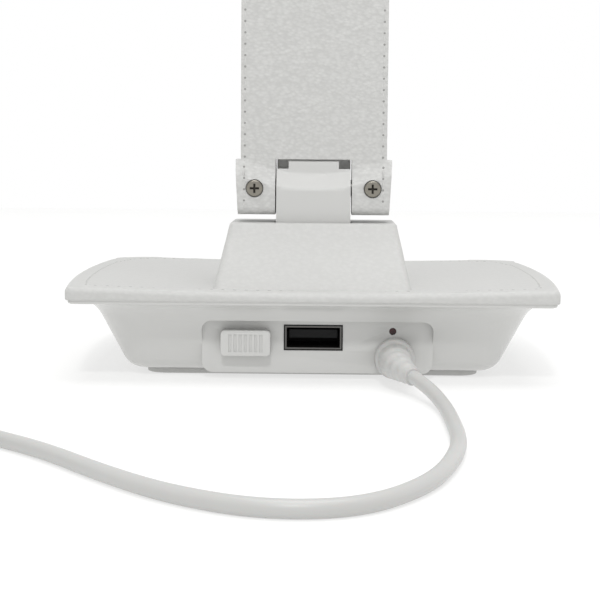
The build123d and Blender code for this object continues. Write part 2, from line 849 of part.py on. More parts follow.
def head_shape(inset):
    """Head body with its lugs: inset 0 is the outside of the leather."""
    half = head_width / 2 - inset
    length = head_length - inset - swing_gap
    plan = Rectangle(2 * half, length, align=(Align.CENTER, Align.MIN))
    plan = fillet(plan.vertices().group_by(Axis.Y)[-1], head_tip_radius - inset)
    solid = along_y(plan, 0, swing_gap, fold_gap, fold_gap + head_thickness - inset)
    solid = fillet(solid.faces().sort_by(Axis.Y)[-1].edges().group_by(Axis.Z)[-1], 2 * leather - inset)
    lug = Circle(knuckle_radius - inset)
    solid += along_x(lug, -half, -ear_inner) + along_x(lug, ear_inner, half)
    return solid - along_x(Circle(knuckle_radius + swing_gap), -ear_inner, ear_inner)


def head_room(margin, depth_from, depth_to):
    """Block inside the head, drawn in by a margin from the light opening."""
    border = leather + head_wall + margin
    length = head_length - head_end - leather - head_wall - 2 * margin
    plan = Rectangle(head_width - 2 * border, length, align=(Align.CENTER, Align.MIN))
    plan = fillet(plan.vertices().group_by(Axis.Y)[-1], head_tip_radius - border)
    return along_y(plan, 0, head_end + margin, depth_from, depth_to)


def head_floor():
    """Depth at which the light board lies in the head."""
    return fold_gap + head_thickness - leather - head_back


def head_housing():
    """Tray of the head with the lugs' cores, open on its light side."""
    solid = head_shape(leather)
    solid -= head_room(0, 0, head_floor())
    solid -= head_room(-diffuser_ledge, 0, fold_gap + diffuser_thickness)
    solid -= along_x(Circle(upper_shaft / 2 + fixed_fit), -far, far)
    for x in (-hinge_screw_x, hinge_screw_x):
        solid -= screw_well(x, -knuckle_radius + head_screw_head_height)
        tip = -knuckle_radius + head_screw_length
        solid -= upright(head_screw_shank / 2 + fixed_fit, x, 0, -knuckle_radius, tip)
    return at_head(solid)


def screw_well(x, floor):
    """Recess round a screw's head in the lugs' round ends, down to a floor."""
    return upright(head_screw_head / 2 + panel_gap, x, 0, -far, floor)


def head_leather():
    """Leather over the outer face, the sides and the lugs of the head."""
    solid = head_shape(0) - head_shape(leather)
    for x in (-hinge_screw_x, hinge_screw_x):
        solid -= screw_well(x, 0)
    return at_head(solid)


def diffuser():
    """Opal window of the light, level with the tray's edge."""
    return at_head(head_room(-diffuser_ledge + panel_gap, fold_gap, fold_gap + diffuser_thickness))


def led_board():
    """Aluminium board on the tray's back."""
    room = head_room(0, 0, 1).bounding_box()
    half = led_board_width / 2
    z_range = (room.min.Z + reflector_wall, room.max.Z - reflector_wall)
    return at_head(box((-half, half), (head_floor() - led_board_thickness, head_floor()), z_range))


def leds():
    """Two rows of white light sources on the board."""
    room = head_room(0, 0, 1).bounding_box()
    pitch = (room.max.Z - room.min.Z) / led_columns
    top = head_floor() - led_board_thickness
    chips = []
    for column in range(led_columns):
        z = room.min.Z + (column + 0.5) * pitch
        for row in range(led_rows):
            x = (row - (led_rows - 1) / 2) * led_row_pitch
            chips.append(Pos(x, top - led_height / 2, z) * Box(led_size, led_height, led_size))
    return at_head(joined(chips))


def reflector():
    """White frame whose walls lean outwards from the board to the diffuser."""
    top = head_floor() - led_board_thickness
    front = fold_gap + diffuser_thickness
    solid = head_room(fixed_fit, front, top)
    frame = solid.bounding_box()
    middle_z = (frame.min.Z + frame.max.Z) / 2
    width = frame.max.X - frame.min.X - 2 * reflector_wall
    length = frame.max.Z - frame.min.Z - 2 * reflector_wall
    wide = RectangleRounded(width, length, reflector_corner)
    narrow = RectangleRounded(width - 2 * reflector_lean, length - 2 * reflector_lean, reflector_corner)
    near = Plane((0, front, middle_z), x_dir=(1, 0, 0), z_dir=(0, 1, 0))
    deep = Plane((0, top, middle_z), x_dir=(1, 0, 0), z_dir=(0, 1, 0))
    return at_head(solid - loft([near * wide, deep * narrow], ruled=True))


# Charging lead. Route points are chosen by hand along the lead in the photograph.

relief_start = Vector(jack_x, panel_y + plug_length, jack_z)
relief_end = Vector(-22.2, 60.0, 4.3)
relief_end_direction = Vector(-0.34, 0.93, -0.12)

run_points = [
    (-22.2, 60.0, 4.3),
    (-24.9, 67.4, 3.35),
    (-27.4, 80.0, 1.6),
    (-27.6, 98.0, 1.5),
    (-27.2, 117.0, 1.5),
    (-24.2, 134.5, 1.5),
    (-19.0, 151.5, 1.5),
    (-8.5, 166.5, 1.5),
    (6.0, 168.5, 1.5),
    (20.0, 160.0, 1.5),
    (32.0, 146.5, 1.5),
    (45.5, 128.0, 1.5),
    (59.0, 115.0, 1.5),
    (67.5, 101.5, 1.6),
    (74.5, 94.4, 1.9),
    (82.5, 91.4, 2.3),
    (89.0, 91.4, 2.3),
]

tail_points = [
    (95.0, 91.4, 12.8),
    (104.0, 91.4, 12.8),
    (114.0, 92.6, 9.4),
    (123.0, 98.4, 5.2),
    (127.6, 107.0, 4.0),
    (128.2, 116.0, 4.0),
]


def corner_radii(points):
    """Arc of each corner of a route: 0.45 of the shorter run over the tangent of half the turn."""
    radii = []
    for before, here, after in zip(points, points[1:], points[2:]):
        run_in = Vector(here) - Vector(before)
        run_out = Vector(after) - Vector(here)
        turn = math.radians(run_in.get_angle(run_out))
        radii.append(0.45 * min(run_in.length, run_out.length) / math.tan(turn / 2))
    return radii


def tube(points, name):
    """Round lead along straight runs and tangent arcs, with its radii printed."""
    radii = corner_radii(points)
    path = FilletPolyline(*points, radius=radii).wire()
    section = Plane(origin=path @ 0, z_dir=path % 0) * Circle(cord / 2)
    solid = sweep(section, path=path)
    expected = math.pi * cord**2 / 4 * path.length
    print(name, "length", round(path.length, 1), "radii", [round(r, 1) for r in radii])
    print(name, "volume over section times length", round(solid.volume / expected, 4))
    return solid


def plug_barrel_piece():
    """Hollow metal barrel of the plug inside the inlet."""
    barrel = Circle(plug_barrel / 2) - Circle(plug_barrel_bore / 2)
    return along_y(barrel, jack_x, jack_z, panel_y - plug_barrel_length, panel_y)


def plug_body():
    """Moulded plug: a round collar against the panel and a slimmer grip."""
    collar = plug_collar / 2
    grip = plug_neck / 2
    side = Polyline(
        (0, 0), (collar, 0), (collar, plug_collar_length), (grip, plug_collar_length + plug_shoulder),
        (relief_root / 2, plug_length), (0, plug_length), close=True,
    )
    body = revolve(make_face(side), axis=Axis.Y)
    return Pos(jack_x, panel_y, jack_z) * body


def relief_line():
    """Centre line of the strain relief, bending from the plug towards the lead."""
    return Bezier(
        relief_start,
        relief_start + Vector(0, relief_bend, 0),
        relief_end - relief_end_direction * relief_bend,
        relief_end,
    )


def plug_relief():
    """Tapered strain relief with a groove between its rings."""
    line = relief_line()
    steps = 2 * relief_rings
    sections = []
    for step in range(steps + 1):
        at = step / steps
        diameter = relief_root + (relief_tip - relief_root) * at
        if step % 2 and step < steps:
            diameter -= relief_groove
        sections.append(Plane(origin=line @ at, z_dir=line % at) * Circle(diameter / 2))
    return loft(sections, ruled=True)


def coil_place(quarter):
    """Point and direction of the coil's centre line after so many quarter turns."""
    per_layer = 4 * coil_turns_per_layer
    angle = math.radians(90 * quarter - 90)
    layer = min(int(quarter / per_layer), coil_layers - 1)
    inside = (quarter - layer * per_layer) / 4 * coil_pitch
    inwards = layer % 2 == 0
    inner = coil_outer - coil_turns_per_layer * coil_pitch
    radius = coil_outer - inside if inwards else inner + inside
    slope = -coil_pitch / (2 * math.pi) * (1 if inwards else -1)
    level = layer * coil_layer
    rise = 0.0
    climbed = [q for q in range(per_layer, coil_layers * per_layer, per_layer) if abs(quarter - q) < 1]
    if climbed:
        share = (quarter - climbed[0] + 1) / 2
        level = (climbed[0] / per_layer - 1 + share) * coil_layer
        rise = coil_layer / math.pi * 1.5 if share == 0.5 else 0.0
        slope = 0.0
    z = cord / 2 + coil_lift + level
    point = Vector(coil_x + radius * math.cos(angle), coil_y + radius * math.sin(angle), z)
    across = Vector(math.cos(angle), math.sin(angle), 0)
    along = Vector(-math.sin(angle), math.cos(angle), 0)
    direction = along * radius + across * slope + Vector(0, 0, rise)
    return point, direction.normalized()


def biarc(start, start_way, end, end_way):
    """Two tangent arcs between two points with given directions."""
    gap = end - start
    ways = start_way + end_way
    a = 2 * (1 - start_way.dot(end_way))
    b = 2 * gap.dot(ways)
    c = -gap.dot(gap)
    reach = (-b + math.sqrt(b * b - 4 * a * c)) / (2 * a)
    join = (start + start_way * reach + end - end_way * reach) * 0.5
    first = Edge.make_tangent_arc(start, start_way, join)
    second = Edge.make_tangent_arc(join, first % 1, end)
    return [first, second]


def cord_coil():
    """The part of the lead that is put away, wound in spiral layers."""
    quarters = 4 * coil_turns_per_layer * coil_layers
    places = [coil_place(quarter) for quarter in range(quarters + 1)]
    start, start_way = places[0]
    end, end_way = places[-1]
    ahead = Vector(1, 0, 0)
    places[0] = (start, ahead)
    places[-1] = (end, ahead)
    edges = [Edge.make_line(start - ahead * cord, start)]
    for (point, way), (next_point, next_way) in zip(places, places[1:]):
        edges += biarc(point, way, next_point, next_way)
    edges.append(Edge.make_line(end, end + ahead * cord))
    path = Wire(edges)
    solid = sweep(Plane(origin=path @ 0, z_dir=path % 0) * Circle(cord / 2), path=path)
    print("cord_coil length", round(path.length, 1), "least gap", round(least_gap(edges), 2))
    print("cord_coil ends", start - ahead * cord, end + ahead * cord)
    expected = math.pi * cord**2 / 4 * path.length
    print("cord_coil volume over section times length", round(solid.volume / expected, 4))
    return solid


def least_gap(edges):
    """Smallest distance between the surfaces of stretches more than half a turn apart."""
    samples = []
    travelled = 0.0
    for edge in edges:
        for share in (0, 0.25, 0.5, 0.75):
            samples.append((travelled + share * edge.length, edge @ share))
        travelled += edge.length
    apart = math.pi * (coil_outer - coil_turns_per_layer * coil_pitch)
    gaps = [
        (p - q).length for i, (s, p) in enumerate(samples) for t, q in samples[i + 1:] if t - s > apart
    ]
    return min(gaps) - cord


def coil_tie():
    """Fabric tie round all the turns at one place."""
    inner = coil_outer - coil_turns_per_layer * coil_pitch - cord / 2 - slide_gap
    outer = coil_outer + coil_pitch / 2 + cord / 2 + slide_gap
    bottom = coil_lift - slide_gap
    top = coil_lift + (coil_layers - 1) * coil_layer + cord + slide_gap
    hole = box((inner, outer), (-tie_width, tie_width), (bottom, top))
    grow = tie_thickness
    band = box((inner - grow, outer + grow), (-tie_width / 2, tie_width / 2), (bottom - grow, top + grow))
    return Pos(coil_x, coil_y, 0) * Rot(0, 0, tie_angle) * (band - hole)


def cord_run():
    """Visible lead on the table, from the strain relief to the coil."""
    return tube(run_points, "cord_run")


def cord_tail():
    """Short end of the lead from the coil to the other plug."""
    return tube(tail_points, "cord_tail")


def tail_frame():
    """Plane at the end of the tail, looking along the lead."""
    way = (Vector(tail_points[-1]) - Vector(tail_points[-2])).normalized()
    return Plane(origin=tail_points[-1], x_dir=way.cross(Vector(0, 0, 1)), z_dir=way)


def usb_plug_relief():
    """Tapered strain relief of the other plug."""
    frame = tail_frame()
    tip = Circle(relief_tip / 2)
    root = Circle(relief_root / 2)
    return loft([frame * tip, frame.offset(usb_plug_relief_length) * root], ruled=True)


def usb_plug_body():
    """Moulded grip of the other plug."""
    width, height, length = usb_plug_size
    frame = tail_frame().offset(usb_plug_relief_length)
    return extrude(frame * RectangleRounded(width, height, usb_plug_corner), amount=length)


def usb_plug_shell():
    """Steel shell of the other plug, open at its end."""
    width, height, length = usb_plug_tongue
    frame = tail_frame().offset(usb_plug_relief_length + usb_plug_size[2])
    outer = Rectangle(width, height)
    inner = Rectangle(width - 2 * usb_sheet, height - 2 * usb_sheet)
    return extrude(frame * (outer - inner), amount=length) + extrude(frame * outer, amount=usb_sheet)


pieces = {
    "lower_housing": lower_housing,
    "anti_slip_pad": anti_slip_pad,
    "base_screws": base_screws,
    "ballast_plate": ballast_plate,
    "battery_cell": battery_cell,
    "main_board": main_board,
    "board_components": board_components,
    "board_screws": board_screws,
    "usb_socket_shell": usb_socket_shell,
    "usb_socket_tongue": usb_socket_tongue,
    "slide_switch_body": slide_switch_body,
    "slide_knob": slide_knob,
    "indicator_led": indicator_led,
    "dc_jack": dc_jack,
    "top_plate": top_plate,
    "base_leather": base_leather,
    "touch_panel": touch_panel,
    "touch_board": touch_board,
    "neck": neck,
    "neck_screws": neck_screws,
    "lower_friction_bush": lower_friction_bush,
    "lower_friction_washers": lower_friction_washers,
    "lower_hinge_shaft": lower_hinge_shaft,
    "hinge_screws": hinge_screws,
    "arm_frame": arm_frame,
    "arm_leather": arm_leather,
    "arm_front_cover": arm_front_cover,
    "arm_wire": arm_wire,
    "upper_friction_bush": upper_friction_bush,
    "upper_friction_washers": upper_friction_washers,
    "upper_hinge_shaft": upper_hinge_shaft,
    "head_hinge_screws": head_hinge_screws,
    "head_housing": head_housing,
    "head_leather": head_leather,
    "diffuser": diffuser,
    "led_board": led_board,
    "leds": leds,
    "reflector": reflector,
    "plug_barrel": plug_barrel_piece,
    "plug_body": plug_body,
    "plug_relief": plug_relief,
    "cord_run": cord_run,
    "cord_coil": cord_coil,
    "coil_tie": coil_tie,
    "cord_tail": cord_tail,
    "usb_plug_relief": usb_plug_relief,
    "usb_plug_body": usb_plug_body,
    "usb_plug_shell": usb_plug_shell,
}

os.makedirs("parts", exist_ok=True)
for name, make in pieces.items():
    export_step(make(), f"parts/{name}.step")
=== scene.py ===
import math

import bmesh
import bpy
from mathutils import Matrix, Quaternion, Vector, kdtree, noise


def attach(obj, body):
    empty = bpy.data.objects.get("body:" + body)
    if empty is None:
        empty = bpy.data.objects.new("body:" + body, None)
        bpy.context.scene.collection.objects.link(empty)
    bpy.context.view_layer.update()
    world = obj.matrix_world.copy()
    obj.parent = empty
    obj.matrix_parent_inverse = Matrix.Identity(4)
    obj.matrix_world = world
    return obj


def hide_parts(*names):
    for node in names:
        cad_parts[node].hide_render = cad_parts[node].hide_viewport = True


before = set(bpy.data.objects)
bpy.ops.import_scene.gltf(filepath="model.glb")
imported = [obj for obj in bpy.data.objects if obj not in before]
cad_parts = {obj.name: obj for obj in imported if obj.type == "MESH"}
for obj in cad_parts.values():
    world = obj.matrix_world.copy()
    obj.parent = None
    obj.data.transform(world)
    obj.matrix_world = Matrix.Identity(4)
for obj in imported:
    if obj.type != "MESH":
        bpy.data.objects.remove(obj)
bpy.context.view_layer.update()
scene = bpy.context.scene
mm = 0.001

# Camera. It stands behind the lamp, a little above the lower hinge, and looks slightly down
# and a touch away from the plug.
camera_look = math.radians(5.87)
camera_turn = math.radians(0.85)
camera_roll = math.radians(0.45)
camera_lens = 88.7
camera_place = (-0.0022, 0.3775, 0.0535)
camera = bpy.data.objects.new("camera", bpy.data.cameras.new("camera"))
camera.data.sensor_width = 36
camera.data.lens = camera_lens
camera.data.clip_start = 0.01
camera.location = camera_place
view_direction = Vector((
    math.sin(camera_turn) * math.cos(camera_look),
    -math.cos(camera_turn) * math.cos(camera_look),
    -math.sin(camera_look),
))
camera_level = view_direction.to_track_quat("-Z", "Y")
camera.rotation_euler = (camera_level @ Quaternion((0, 0, 1), camera_roll)).to_euler()
scene.collection.objects.link(camera)
scene.camera = camera
scene.view_settings.view_transform = "Standard"


# Studio. A white table lit from below, so that shadows on it stay faint, a white wall beyond it,
# a lamp behind the camera that throws the edge's shadow onto the port panel, and a wide soft light
# overhead.
def linear(hex_colour):
    """An sRGB hex colour as the linear colour that a shader takes."""
    parts = [int(hex_colour[i:i + 2], 16) / 255 for i in (1, 3, 5)]
    return tuple(p / 12.92 if p <= 0.04045 else ((p + 0.055) / 1.055) ** 2.4 for p in parts) + (1.0,)


def add_node(material, kind, values=(), links=(), **settings):
    """Add one node, with its settings, its socket values and the sockets that feed it."""
    made = material.node_tree.nodes.new(kind)
    for name, value in settings.items():
        setattr(made, name, value)
    for socket, value in dict(values).items():
        made.inputs[socket].default_value = value
    for socket, source in dict(links).items():
        material.node_tree.links.new(source, made.inputs[socket])
    return made


def new_material(name):
    """An empty material with its shader and its output, and the shader to fill in."""
    material = bpy.data.materials.new(name)
    material.use_nodes = True
    material.node_tree.nodes.clear()
    shader = add_node(material, "ShaderNodeBsdfPrincipled")
    add_node(material, "ShaderNodeOutputMaterial", links={"Surface": shader.outputs["BSDF"]})
    return material, shader


def feed(material, shader, socket, source):
    """Link a source to one of the shader's sockets."""
    material.node_tree.links.new(source, shader.inputs[socket])


def new_piece(name, mesh_data, material):
    """An object of a finished mesh or curve, at the origin, with its material."""
    piece = bpy.data.objects.new(name, mesh_data)
    scene.collection.objects.link(piece)
    mesh_data.materials.append(material)
    return piece


table_half_size = 0.9
table_top, table_shader = new_material("lit_opal_table")
# Evenly white and matt, with a glow of its own.
table_shader.inputs["Base Color"].default_value = linear("#a9a9a8")
table_shader.inputs["Roughness"].default_value = 0.9
table_shader.inputs["Specular IOR Level"].default_value = 0.1
table_shader.inputs["Emission Color"].default_value = linear("#ffffff")
table_shader.inputs["Emission Strength"].default_value = 0.58
floor_mesh = bpy.data.meshes.new("floor")
table_grid = bmesh.new()
bmesh.ops.create_grid(table_grid, x_segments=1, y_segments=1, size=table_half_size)
table_grid.to_mesh(floor_mesh)
table_grid.free()
floor = new_piece("floor", floor_mesh, table_top)

# The wall is white beyond the lamp and light grey behind the camera. The ceiling is the darkest.
white_wall = 1.0
rear_wall = 0.74
ceiling = 0.66
surround = bpy.data.worlds.new("surround")
surround.use_nodes = True
sky = surround.node_tree.nodes["Background"]
sky.inputs["Color"].default_value = linear("#ffffff")
direction = add_node(surround, "ShaderNodeTexCoord").outputs["Generated"]
way = add_node(surround, "ShaderNodeSeparateXYZ", links={"Vector": direction})
wall_range = {"From Min": -0.1, "From Max": 0.1, "To Min": white_wall, "To Max": rear_wall}
wall = add_node(surround, "ShaderNodeMapRange", wall_range, {"Value": way.outputs["Y"]})
ceiling_range = {"From Min": 0.2, "From Max": 0.4, "To Max": ceiling}
dome = add_node(surround, "ShaderNodeMapRange", ceiling_range,
                {"Value": way.outputs["Z"], "To Min": wall.outputs["Result"]})
feed(surround, sky, "Strength", dome.outputs["Result"])
scene.world = surround


def studio_light(name, size, power, place, aim):
    """A square light that looks from its place at a point."""
    lamp = bpy.data.lights.new(name, "AREA")
    lamp.size = size
    lamp.energy = power
    holder = bpy.data.objects.new(name, lamp)
    holder.location = place
    holder.rotation_euler = (Vector(aim) - Vector(place)).to_track_quat("-Z", "Y").to_euler()
    scene.collection.objects.link(holder)


studio_light("key_light", size=0.11, power=3.8, place=(0.05, 0.95, 0.92), aim=(0, 0.03, 0.02))
studio_light("overhead_light", size=1.2, power=11.3, place=(-0.1, 0.0, 1.5), aim=(0, 0, 0))

# Charging lead: 3 mm round lead with a smooth white PVC sheath. It leaves the plug's strain
# relief, lies on the table in one wide bend and ends in a coil that a strap holds.
lead_run = [
    (-22.2, 60.0, 4.3),
    (-24.9, 67.4, 3.35),
    (-27.4, 80.0, 1.6),
    (-27.6, 98.0, 1.5),
    (-27.2, 117.0, 1.5),
    (-24.2, 134.5, 1.5),
    (-19.0, 151.5, 1.5),
    (-8.5, 166.5, 1.5),
    (6.0, 168.5, 1.5),
    (20.0, 160.0, 1.5),
    (32.0, 146.5, 1.5),
    (45.5, 128.0, 1.5),
    (59.0, 115.0, 1.5),
    (67.5, 101.5, 1.6),
    (74.5, 94.4, 1.9),
    (82.5, 91.4, 2.3),
    (89.0, 91.4, 2.3),
]
lead_tail = [
    (95.0, 91.4, 12.8),
    (104.0, 91.4, 12.8),
    (114.0, 92.6, 9.4),
    (123.0, 98.4, 5.2),
    (127.6, 107.0, 4.0),
    (128.2, 116.0, 4.0),
]
lead_diameter = 3.0
coil_middle = (92.0, 112.0)
coil_radius = 20.6
coil_pitch = 3.6
coil_layer = 3.5
coil_layers = 4
coil_turns_per_layer = 2
coil_bottom = 2.3
coil_points_per_turn = 16
coil_climb_turns = 0.5


def coil_turns():
    """Points of the wound part: each layer spirals in or out, and climbs at its end."""
    points = []
    spread = 1 / math.cos(math.pi / coil_points_per_turn)
    reach = coil_turns_per_layer * coil_pitch
    for step in range(coil_layers * coil_turns_per_layer * coil_points_per_turn + 1):
        turns = step / coil_points_per_turn
        layer = min(int(turns / coil_turns_per_layer), coil_layers - 1)
        inside = (turns - layer * coil_turns_per_layer) * coil_pitch
        radius = coil_radius - (inside if layer % 2 == 0 else reach - inside)
        changes = [(layer_end + 1) * coil_turns_per_layer for layer_end in range(coil_layers - 1)]
        level = sum(min(max((turns - change) / coil_climb_turns + 0.5, 0), 1) for change in changes)
        angle = 2 * math.pi * turns - math.pi / 2
        x = coil_middle[0] + radius * spread * math.cos(angle)
        y = coil_middle[1] + radius * spread * math.sin(angle)
        points.append((x, y, coil_bottom + level * coil_layer))
    return points


lead_curve = bpy.data.curves.new("charging_lead", "CURVE")
lead_curve.dimensions = "3D"
lead_curve.bevel_depth = lead_diameter / 2 * mm
lead_curve.bevel_resolution = 5
lead_curve.resolution_u = 8
lead_curve.use_fill_caps = True
lead_line = lead_curve.splines.new("NURBS")
lead_points = lead_run + coil_turns() + lead_tail
lead_line.points.add(len(lead_points) - 1)
for point, (x, y, z) in zip(lead_line.points, lead_points):
    point.co = (x * mm, y * mm, z * mm, 1.0)
lead_line.order_u = 3
lead_line.use_endpoint_u = True

pvc, shader = new_material("extruded_white_pvc_sheath")
# Satin and slightly soft to the eye, with faint drag lines from the extruder.
place = add_node(pvc, "ShaderNodeTexCoord").outputs["Object"]
drag = add_node(pvc, "ShaderNodeTexNoise", {"Scale": 900.0, "Detail": 2.0}, {"Vector": place})
tone = add_node(pvc, "ShaderNodeTexNoise", {"Scale": 60.0, "Detail": 3.0}, {"Vector": place})
ramp = add_node(pvc, "ShaderNodeValToRGB", links={"Fac": tone.outputs["Fac"]})
ramp.color_ramp.elements[0].color = linear("#bdbdbb")
ramp.color_ramp.elements[1].color = linear("#c3c3c1")
bump = add_node(pvc, "ShaderNodeBump", {"Strength": 0.15, "Distance": 0.05 * mm},
                {"Height": drag.outputs["Fac"]})
feed(pvc, shader, "Base Color", ramp.outputs["Color"])
feed(pvc, shader, "Normal", bump.outputs["Normal"])
shader.inputs["Roughness"].default_value = 0.38
shader.inputs["IOR"].default_value = 1.52
shader.inputs["Subsurface Weight"].default_value = 0.05
shader.inputs["Subsurface Scale"].default_value = 0.001
lead = new_piece("charging_lead", lead_curve, pvc)
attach(lead, "base")
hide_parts("cord_run", "cord_coil", "cord_tail")


# Plug of the lead and its strain relief: one white PVC moulding over a nickel barrel, with a
# round collar against the panel and soft rings that let the lead bend.
def merged_copy(node):
    """The mesh of a CAD node with its corners joined and its flat faces whole."""
    mesh = bmesh.new()
    mesh.from_mesh(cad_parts[node].data)
    bmesh.ops.remove_doubles(mesh, verts=mesh.verts, dist=0.002 * mm)
    bmesh.ops.dissolve_limit(mesh, angle_limit=math.radians(0.6), verts=mesh.verts, edges=mesh.edges)
    return mesh


def round_edges(mesh, radius, angle, segments=2, which=lambda edge: True):
    """Round every edge, or those asked for, that is sharper than an angle in degrees."""
    sharp = [
        e for e in mesh.edges
        if len(e.link_faces) == 2 and e.calc_face_angle(0) > math.radians(angle) and which(e)
    ]
    bmesh.ops.bevel(
        mesh, geom=sharp, offset=radius * mm, offset_type="OFFSET", segments=segments, profile=0.5,
        affect="EDGES", clamp_overlap=True, material=-1,
    )


def finished(name, mesh, material, body, node, crisp=35):
    """Turn a worked mesh into a piece that rides on a body, in place of a CAD node if one is given."""
    data = bpy.data.meshes.new(name)
    mesh.to_mesh(data)
    mesh.free()
    data.shade_smooth()
    data.set_sharp_from_angle(angle=math.radians(crisp))
    piece = new_piece(name, data, material)
    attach(piece, body)
    if node:
        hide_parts(node)
    return piece


def dress(material, *nodes):
    """Give CAD nodes a finish."""
    for node in nodes:
        for place_of_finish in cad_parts[node].material_slots:
            place_of_finish.link = "OBJECT"
            place_of_finish.material = material


mesh = merged_copy("plug_body")
round_edges(mesh, radius=0.35, angle=30, segments=3)
plug_grip = finished("plug_grip", mesh, pvc, "base", "plug_body")
mesh = merged_copy("plug_relief")
round_edges(mesh, radius=0.12, angle=12)
plug_strain_relief = finished("plug_strain_relief", mesh, pvc, "base", "plug_relief")
mesh = merged_copy("usb_plug_body")
round_edges(mesh, radius=0.8, angle=30, segments=4)
far_grip = finished("far_plug_grip", mesh, pvc, "base", "usb_plug_body")
mesh = merged_copy("usb_plug_relief")
round_edges(mesh, radius=0.3, angle=30)
far_relief = finished("far_plug_relief", mesh, pvc, "base", "usb_plug_relief")

nickel, shader = new_material("nickel_plated_steel")
# Bright with a warm grey tint. The plating lies over fine drawing and rolling marks.
place = add_node(nickel, "ShaderNodeTexCoord").outputs["Object"]
marks = add_node(nickel, "ShaderNodeTexNoise", {"Scale": 2500.0, "Detail": 3.0}, {"Vector": place})
rough = add_node(nickel, "ShaderNodeMapRange", {"To Min": 0.2, "To Max": 0.34},
                 {"Value": marks.outputs["Fac"]})
bump = add_node(nickel, "ShaderNodeBump", {"Strength": 0.2, "Distance": 0.02 * mm},
                {"Height": marks.outputs["Fac"]})
shader.inputs["Base Color"].default_value = linear("#b9b4ab")
shader.inputs["Metallic"].default_value = 1.0
feed(nickel, shader, "Roughness", rough.outputs["Result"])
feed(nickel, shader, "Normal", bump.outputs["Normal"])
dress(nickel, "plug_barrel", "usb_plug_shell", "base_screws", "board_screws",
      "neck_screws", "head_hinge_screws")

# Strap round the coil: pale grey woven polyester with hook and loop faces. It is cut square at its
# ends and closes on itself round one side of the coil.
strap_cloth, shader = new_material("woven_polyester_strap")
# Dull and faintly fibrous, with a plain weave of 0.4 mm threads.
place = add_node(strap_cloth, "ShaderNodeTexCoord").outputs["Object"]
weave = add_node(strap_cloth, "ShaderNodeTexVoronoi", {"Scale": 2500.0}, {"Vector": place})
shade = add_node(strap_cloth, "ShaderNodeValToRGB", links={"Fac": weave.outputs["Distance"]})
shade.color_ramp.elements[0].color = linear("#e4e4e1")
shade.color_ramp.elements[1].color = linear("#c9c9c5")
bump = add_node(strap_cloth, "ShaderNodeBump", {"Strength": 0.6, "Distance": 0.1 * mm},
                {"Height": weave.outputs["Distance"]})
feed(strap_cloth, shader, "Base Color", shade.outputs["Color"])
feed(strap_cloth, shader, "Normal", bump.outputs["Normal"])
shader.inputs["Roughness"].default_value = 0.9
shader.inputs["Sheen Weight"].default_value = 0.3
mesh = merged_copy("coil_tie")
round_edges(mesh, radius=0.22, angle=40, segments=3)
strap = finished("coil_strap", mesh, strap_cloth, "base", "coil_tie")

# Hull of the base: injection-moulded white ABS with a gloss finish and the sunk port panel in its
# back. The slide switch's knob and the cover on the arm's front are the same ABS.
pit_share = 0.12
gloss_spread = 0.06


def moulded_plastic(name, colour, roughness, ripple):
    """Moulded plastic: a faint mould ripple under the skin, with pits the size of dust."""
    material, plastic_shader = new_material(name)
    at = add_node(material, "ShaderNodeTexCoord").outputs["Object"]
    waves = add_node(material, "ShaderNodeTexNoise", {"Scale": 160.0, "Detail": 2.0}, {"Vector": at})
    pits = add_node(material, "ShaderNodeTexNoise", {"Scale": 3200.0, "Detail": 1.0}, {"Vector": at})
    height = add_node(material, "ShaderNodeMath", {1: pit_share},
                      {0: pits.outputs["Fac"], 2: waves.outputs["Fac"]}, operation="MULTIPLY_ADD")
    relief = add_node(material, "ShaderNodeBump", {"Strength": ripple, "Distance": 0.05 * mm},
                      {"Height": height.outputs["Value"]})
    gloss_range = {"To Min": roughness, "To Max": roughness + gloss_spread}
    gloss = add_node(material, "ShaderNodeMapRange", gloss_range, {"Value": waves.outputs["Fac"]})
    plastic_shader.inputs["Base Color"].default_value = linear(colour)
    plastic_shader.inputs["IOR"].default_value = 1.53
    feed(material, plastic_shader, "Roughness", gloss.outputs["Result"])
    feed(material, plastic_shader, "Normal", relief.outputs["Normal"])
    return material


base_middle_half = 58.7
base_half_depth = 48.0
side_bow = 3.1
front_corner = 18.0
rear_corner = 1.5


def inset_in_plan(point):
    """How far a point lies inside the base's outline: bowed sides, wide front corners."""
    x, y = abs(point.x) / mm, point.y / mm
    side = base_middle_half - side_bow * (y / base_half_depth) ** 2
    radius = front_corner if y < 0 else rear_corner
    past_x = x - (side - radius)
    past_y = abs(y) - (base_half_depth - radius)
    if past_x > 0 and past_y > 0:
        return radius - math.hypot(past_x, past_y)
    return min(side - x, base_half_depth - abs(y))


def slice_evenly(mesh, across, low, high, step):
    """Cut a mesh by evenly spaced planes, so that it has points enough to bend and crease."""
    for index in range(1, int((high - low) / step)):
        everything = mesh.verts[:] + mesh.edges[:] + mesh.faces[:]
        bmesh.ops.bisect_plane(
            mesh, geom=everything, dist=0.001 * mm,
            plane_co=across * (low + index * step) * mm, plane_no=across,
        )


def slice_near_ends(mesh, across, flat_end, end, step):
    """Cut a mesh near its two ends only, between its flat middle and where it stops."""
    slice_evenly(mesh, across, -end, -flat_end, step)
    slice_evenly(mesh, across, flat_end, end, step)


sliver_area = 0.0001
outline_slack = 0.5
rim_level_slack = 0.08
rim_spacing = 0.08
rim_angle = 50
steep_slope = 0.3
flat_slope = 0.7


